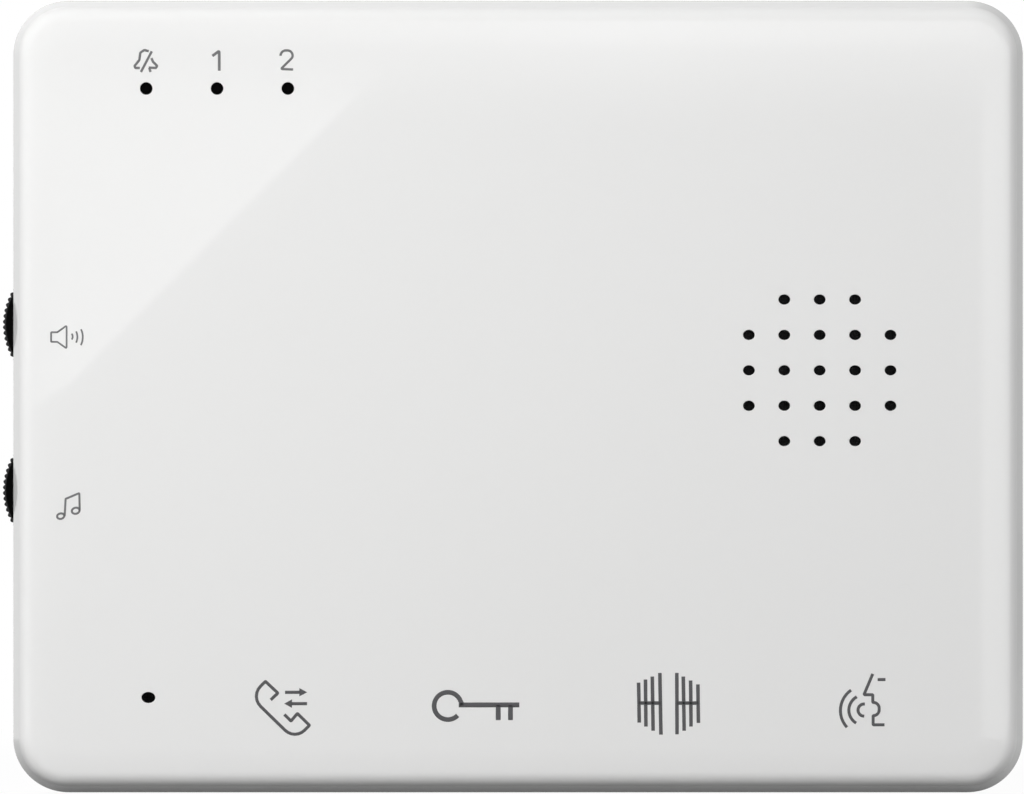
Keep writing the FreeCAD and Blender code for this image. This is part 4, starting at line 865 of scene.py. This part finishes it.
def makeWheels():
    radius, bevel, front, back = (wheel[part] for part in ("radius", "bevel", "front", "back"))
    dish, floor, bore = (wheel[part] for part in ("dish", "dishFloor", "bore"))
    half = (bore + dish) / 2
    profile = roundedLine(
        [(half, floor), (dish, floor), (dish, front), (radius - bevel, front), (radius, front + bevel),
         (radius, back - bevel), (radius - bevel, back), (bore, back), (bore, floor), (half, floor)],
        [wheel["dishFillet"]] + [wheel["edgeRound"]] * 7, wheel["edgeStep"])[:-1]
    tree = knurlTree()
    for name, (x, z) in wheelPlaces.items():
        bm = bmesh.new()
        lathe(bm, profile, wheel["teeth"] * wheel["stepsPerTooth"])
        blank = newPiece(name + "WheelBlank", bm)
        piece = runTree(tree, name + "Wheel", blank.data, "wheelBlack", Radius=radius * mm,
                        Depth=wheel["depth"] * mm, Teeth=wheel["teeth"], Start=(radius - bevel) * mm)
        bpy.data.objects.remove(blank)
        piece.data.transform(Matrix.Translation((x * mm, 0, z * mm)))
        settle(piece, sharpAngle=50.0)
        onBody(piece, "wheel", name + "_volume_wheel", body=name + "_wheel")
        print(name, "wheel:", len(piece.data.polygons), "faces")


paintRimSheen()
makeWheels()


# screws

micFelt = {"radius": 1.12, "front": -18.2, "back": -17.72}
# the cross is (reach, width, depth), and side says which way along Y the head faces
screwKinds = {
    "case": {"head": 2.75, "height": 1.7, "shank": 1.45, "length": 12.0, "pitch": 0.95,
             "cross": (3.5, 0.85, 1.15), "side": 1},
    "small": {"head": 2.1, "height": 1.4, "shank": 1.1, "length": 7.0, "pitch": 0.8,
              "cross": (2.7, 0.65, 0.95), "side": 1},
    "wheel": {"head": 1.9, "height": 1.2, "shank": 0.8, "length": 3.0, "pitch": 0.6,
              "cross": (2.4, 0.6, 0.8), "side": -1},
}
# kind, level under the head, body, places and the node that they stand in for
screws = {
    "case_screws": ("case", -2.4, "station", casePlaces, "case_screws"),
    "board_screws": ("small", -7.4, "station", boardPlaces),
    "clamp_screws": ("small", -6.8, "station", clampPlaces, "small_screws"),
    "speech_wheel_screw": ("wheel", -14.3, "speech_wheel", [wheelPlaces["speech"]], "speech_wheel_screw"),
    "ring_wheel_screw": ("wheel", -14.3, "ring_wheel", [wheelPlaces["ring"]], "ring_wheel_screw"),
}
# headRound is a share of the head's height, the thread's shares are of its pitch, and the rest is millimetres
screwShape = {
    "headRound": 0.6, "chamfer": 0.12, "neck": 0.1, "neckEnd": -0.5, "threadStart": -0.7, "threadDepth": 0.24,
    "rise": 0.4, "crest": 0.5, "fall": 0.9, "tail": 1.4, "tip": 0.3, "tipWidth": 0.7, "crossFloor": 0.45,
    "past": 0.05,
}


def repeatTree():
    # sets one shape at each point of a mesh, each turned about Y by its own chance
    tree, given = shapeTree("repeatAtPoints", Shape="Object", Turn="Float", Seed="Int")
    shape = addNode(tree, "GeometryNodeObjectInfo", {"Object": given["Shape"]})["Geometry"]
    turn = addNode(tree, "FunctionNodeRandomValue", {3: given["Turn"], 8: given["Seed"]}, data_type="FLOAT")
    copies = addNode(tree, "GeometryNodeInstanceOnPoints", {"Points": given["Geometry"], "Instance": shape,
                                                            "Rotation": join(0.0, turn[1], 0.0)})
    return finishTree(tree, copies[0], given)


def repeated(name, shape, places, level, look, turn=0.0):
    mesh = bpy.data.meshes.new(name)
    mesh.from_pydata([(x * mm, level * mm, z * mm) for x, z in places], [], [])
    piece = runTree(repeats, name, mesh, look, Shape=shape, Turn=turn, Seed=1)
    bpy.data.objects.remove(shape)
    return piece


def makeScrew(kind):
    # a pan head with a cross recess and a thread, its head towards +Y from the seat
    head, height, shank, length = (kind[part] for part in ("head", "height", "shank", "length"))
    form, pitch = screwShape, kind["pitch"]
    chamfer = form["chamfer"]
    top = roundedLine([(0, height), (head, height), (head, 0.0)], [height * form["headRound"]], 15.0)
    profile = list(top[:-1]) + [(head, chamfer), (head - chamfer, 0), (shank, 0),
                                (shank - form["neck"], form["neckEnd"])]
    root = shank - pitch * form["threadDepth"]
    level = form["threadStart"]
    while level > -length + form["tail"] * pitch:
        profile += [(root, level), (shank, level - pitch * form["rise"]),
                    (shank, level - pitch * form["crest"]), (root, level - pitch * form["fall"])]
        level -= pitch
    profile += [(root, -length + form["tip"]), (root * form["tipWidth"], -length), (0, -length)]
    bm = bmesh.new()
    lathe(bm, profile)
    piece = newPiece("screwBlank", bm)
    reach, width, depth = kind["cross"]
    for turned in (False, True):
        bm = bmesh.new()
        rings = []
        for y, share in ((height - depth, form["crossFloor"]), (height + form["past"], 1.0)):
            a, b = reach / 2 * share, width / 2 * (0.5 + share / 2)
            rings.append([bm.verts.new((-v, y, u) if turned else (u, y, v))
                          for u, v in ((-a, -b), (a, -b), (a, b), (-a, b))])
            bm.faces.new(rings[-1])
        bridge(bm, rings)
        boolean(piece, newPiece("screwCross", bm), "DIFFERENCE")
    if kind["side"] < 0:
        piece.data.transform(Matrix.Rotation(math.pi, 4, "X"))
    return piece


def makeFelt():
    # a dark felt in the mouth of the microphone's boot
    bm = bmesh.new()
    disc(bm, micFelt["radius"], micFelt["front"], micFelt["back"], 24, *micPlace)
    onBody(newPiece("micFelt", bm, "clothBlack"), "cloth")


repeats = repeatTree()
makeFelt()
for name, (kind, seat, body, places, *replaced) in screws.items():
    piece = repeated("threaded_" + name, makeScrew(screwKinds[kind]), places, seat, "screwZinc", 3.0)
    settle(piece, sharpAngle=35.0)
    onBody(piece, "screw", *replaced, body=body)
print("screws:", len(screws), "kinds")


# moulded and stamped pieces with their edges eased

# slot and bevel
eased = {
    "rear_shell": ("case_back", 0.25), "wall_bracket": ("bracket", 0.12),
    "terminal_block": ("terminal_plastic", 0.18), "terminal_cages": ("contact", 0.06),
    "terminal_screws": ("screw", 0.07), "code_switch": ("switch_plastic", 0.15),
    "jumper_base": ("black_part", 0.12), "jumper_cap": ("black_part", 0.2), "jumper_pins": ("contact", 0.08),
    "speaker_socket": ("lever_plastic", 0.15), "speaker_plug": ("lever_plastic", 0.2),
    "signal_chips": ("black_part", 0.12), "speaker_clamp": ("plated_sheet", 0.1),
    "touch_header": ("black_part", 0.1), "touch_socket": ("black_part", 0.1),
}
easing = {"merge": 1e-6, "flat": 0.4, "lever": 0.12}


def ease(name, slot, width, body="station"):
    # a merged copy of a node whose flat faces are whole again, with its hard edges bevelled
    bm = bmesh.new()
    bm.from_mesh(nodes[name].data)
    bmesh.ops.remove_doubles(bm, verts=bm.verts, dist=easing["merge"])
    bmesh.ops.dissolve_limit(bm, angle_limit=math.radians(easing["flat"]), verts=bm.verts, edges=bm.edges)
    piece = meshPiece("eased_" + name, bm, nodeLooks[name])
    settle(piece, bevel=width)
    onBody(piece, slot, name, body=body)


for name, (slot, width) in eased.items():
    ease(name, slot, width)
for name in levers:
    ease(name, "lever_plastic", easing["lever"], body=name)
print("eased pieces:", len(eased) + len(levers))


# what the back shows: traces, solder, lettering and mould marks

# levels are along Y, and everything here faces +Y
marks = {
    "board": -7.4, "copper": 0.03, "ink": 0.02, "trace": 0.35, "wideTrace": 1.3, "outline": 0.18,
    "switchFace": -3.2, "blockFace": -1.0, "shellFace": -0.2, "raised": 0.08, "arrow": 0.55,
}
bus = {"first": -17.5, "pitch": 5.0, "end": -17.93, "endPitch": 2.54, "low": -9.6, "turn": -8.2,
       "stagger": 0.5, "top": 8.1, "count": 6}
traces = [
    [(-2.69, 8.1), (-2.69, 6.9), (-0.9, 5.1), (3.5, 5.1)],
    [(-0.15, 8.1), (-0.15, 7.6), (1.2, 6.25), (8.0, 6.25), (10.0, 8.25), (10.0, 9.2)],
    [(-23.2, 8.5), (-23.2, -2.0), (-21.4, -3.8), (-21.4, -8.6)], [(-21.6, 7.0), (-21.6, 1.0), (-19.9, -0.7)],
    [(12.5, -7.0), (12.5, -5.2), (11.0, -3.7), (11.0, -2.2)], [(5.2, 1.8), (3.4, 0.0), (3.4, -0.9)],
    [(12.85, 14.2), (12.85, 15.4), (11.2, 17.0), (4.6, 17.0), (3.6, 16.0), (3.6, 12.6)],
]
wideTraces = [
    [(-25.3, -17.5), (-25.3, 17.5)], [(15.6, -17.5), (15.6, 17.5)],
    [(13.0, 4.95), (9.5, 4.95), (7.3, 2.75), (7.3, -0.8)],
    [(13.0, 2.45), (10.6, 2.45), (9.4, 1.25), (9.4, -2.0)],
]
vias = [(3.5, 5.1), (-23.2, 8.5), (-21.4, -8.6), (-21.6, 7.0), (-19.9, -0.7), (11.0, -2.2), (5.2, 1.8),
        (3.4, -0.9), (12.85, 14.2), (3.6, 12.6), (7.3, -0.8), (9.4, -2.0), (-25.3, 12.0), (-25.3, 4.0),
        (-25.3, -4.0), (-25.3, -12.0), (15.6, 12.0), (15.6, 7.5), (15.6, -2.0), (15.6, -8.0), (-8.4, 5.2),
        (-3.2, -4.4), (4.9, -6.1)]
testPads = [(12.7, -16.0), (12.7, -13.0), (12.7, -10.0), (12.5, -7.0)]
solderJoints = [(13.0, 2.45), (13.0, 4.95)]
mouldMarks = [(x, z) for x in (61.5, -61.5) for z in (0.0, 25.0, -25.0)]
mouldMarks += [(34.0, 49.0), (-34.0, 49.0), (0.0, -49.0)]
# (radius, height) of what stands on the board and the shell
viaShape = [(0.16, 0.0), (0.38, 0.0), (0.38, 0.05), (0.16, 0.05)]
padShape = [(0, 0), (0.85, 0.0), (0.85, 0.04), (0.5, 0.09), (0, 0.11)]
jointShape = [(0, 0), (1.0, 0.0), (0.95, 0.05), (0.62, 0.22), (0.42, 0.6), (0.34, 0.95), (0.2, 1.1),
              (0, 1.14)]
markShape = [(2.3, 0.0), (2.5, 0.0), (2.5, 0.03), (2.3, 0.03)]
outlines = [(-20.45, 10.45, -18.45, -9.35), (-20.25, 2.15, 7.45, 18.3), (8.35, 11.65, 8.6, 17.1)]
arrow = [[(-4.2, 46.4), (-4.2, 51.2)], [(-5.7, 49.5), (-4.2, 51.2), (-2.7, 49.5)]]
# words, x, z and size, read from behind
boardWords = [("X1", -22.8, -13.6, 1.9), ("S1", 5.4, 14.4, 1.9), ("J1", 13.6, 11.0, 1.6),
              ("LS", 13.1, 7.3, 1.6), ("T1", 14.0, -4.6, 1.4)]
shellWords = [("TOP", 3.6, 48.8, 4.6)]
# z and size
digits = {"switch": (9.35, 1.75), "on": (16.45, 1.75), "onAside": 0.5, "terminals": (-16.5, 1.9)}
facingBack = Matrix(((-1, 0, 0, 0), (0, 0, 1, 0), (0, 1, 0, 0), (0, 0, 0, 1)))


def busLines():
    # one trace from each terminal to its code switch, turning at 45 degrees side by side
    lines = []
    for i in range(bus["count"]):
        start = bus["first"] + bus["pitch"] * i
        end = bus["end"] + bus["endPitch"] * i
        turn = bus["turn"] + bus["stagger"] * i
        lines.append([(start, bus["low"]), (start, turn), (end, turn + start - end), (end, bus["top"])])
    return lines


def lettering(name, entries, thickness, level, look, slot):
    bm = bmesh.new()
    for words, x, z, size in entries:
        curve = assign(bpy.data.curves.new(name, "FONT"), body=words, size=size * mm,
                       extrude=thickness / 2 * mm, resolution_u=3, align_x="CENTER", align_y="CENTER")
        letter = placed(name, curve)
        mesh = bakedMesh(letter)
        place = Vector((x, level + thickness / 2, z)) * mm
        mesh.transform(Matrix.Translation(place) @ facingBack)
        bm.from_mesh(mesh)
        bpy.data.objects.remove(letter)
    bmesh.ops.remove_doubles(bm, verts=bm.verts, dist=1e-7)
    onBody(meshPiece(name, bm, look), slot)


def standing(name, profile, places, level, look, slot, steps):
    bm = bmesh.new()
    lathe(bm, profile, steps)
    piece = repeated(name, newPiece(name + "Shape", bm), places, level, look)
    onBody(settle(piece, sharpAngle=40.0), slot)


def makeBackMarks():
    copper, ink, board = marks["copper"], marks["ink"], marks["board"]
    lines = [(line, marks["trace"]) for line in busLines() + traces]
    lines += [(line, marks["wideTrace"]) for line in wideTraces]
    drawn("boardTraces", lines, copper, board, "traceGreen", "circuit_board")
    standing("boardVias", viaShape, vias, board, "tinned", "contact", 12)
    standing("testPads", padShape, testPads, board, "solderTin", "contact", 24)
    standing("solderJoints", jointShape, solderJoints, board, "solderTin", "contact", 24)
    sides = [([(x0, z0), (x1, z0), (x1, z1), (x0, z1), (x0, z0)], marks["outline"])
             for x0, x1, z0, z1 in outlines]
    drawn("boardOutlines", sides, ink, board + copper, "markWhite", "circuit_board")
    lettering("boardLettering", boardWords, ink, board + copper, "markWhite", "circuit_board")
    first = bus["end"] + bus["endPitch"] * (len(levers) - 1)
    words = [(str(i + 1), first - bus["endPitch"] * i, *digits["switch"]) for i in range(len(levers))]
    words.append(("ON", first - digits["onAside"], *digits["on"]))
    lettering("switchLettering", words, ink, marks["switchFace"], "markWhite", "switch_plastic")
    last = bus["first"] + bus["pitch"] * (bus["count"] - 1)
    words = [(str(i + 1), last - bus["pitch"] * i, *digits["terminals"]) for i in range(bus["count"])]
    lettering("terminalLettering", words, ink, marks["blockFace"], "markWhite", "terminal_plastic")
    face, raised = marks["shellFace"], marks["raised"]
    drawn("shellArrow", [(line, marks["arrow"]) for line in arrow], raised, face, "shellWhite", "case_back")
    lettering("shellLettering", shellWords, raised, face, "shellWhite", "case_back")
    standing("mouldMarks", markShape, mouldMarks, face, "shellWhite", "case_back", 32)
    print("back marks:", len(lines), "traces")


makeBackMarks()
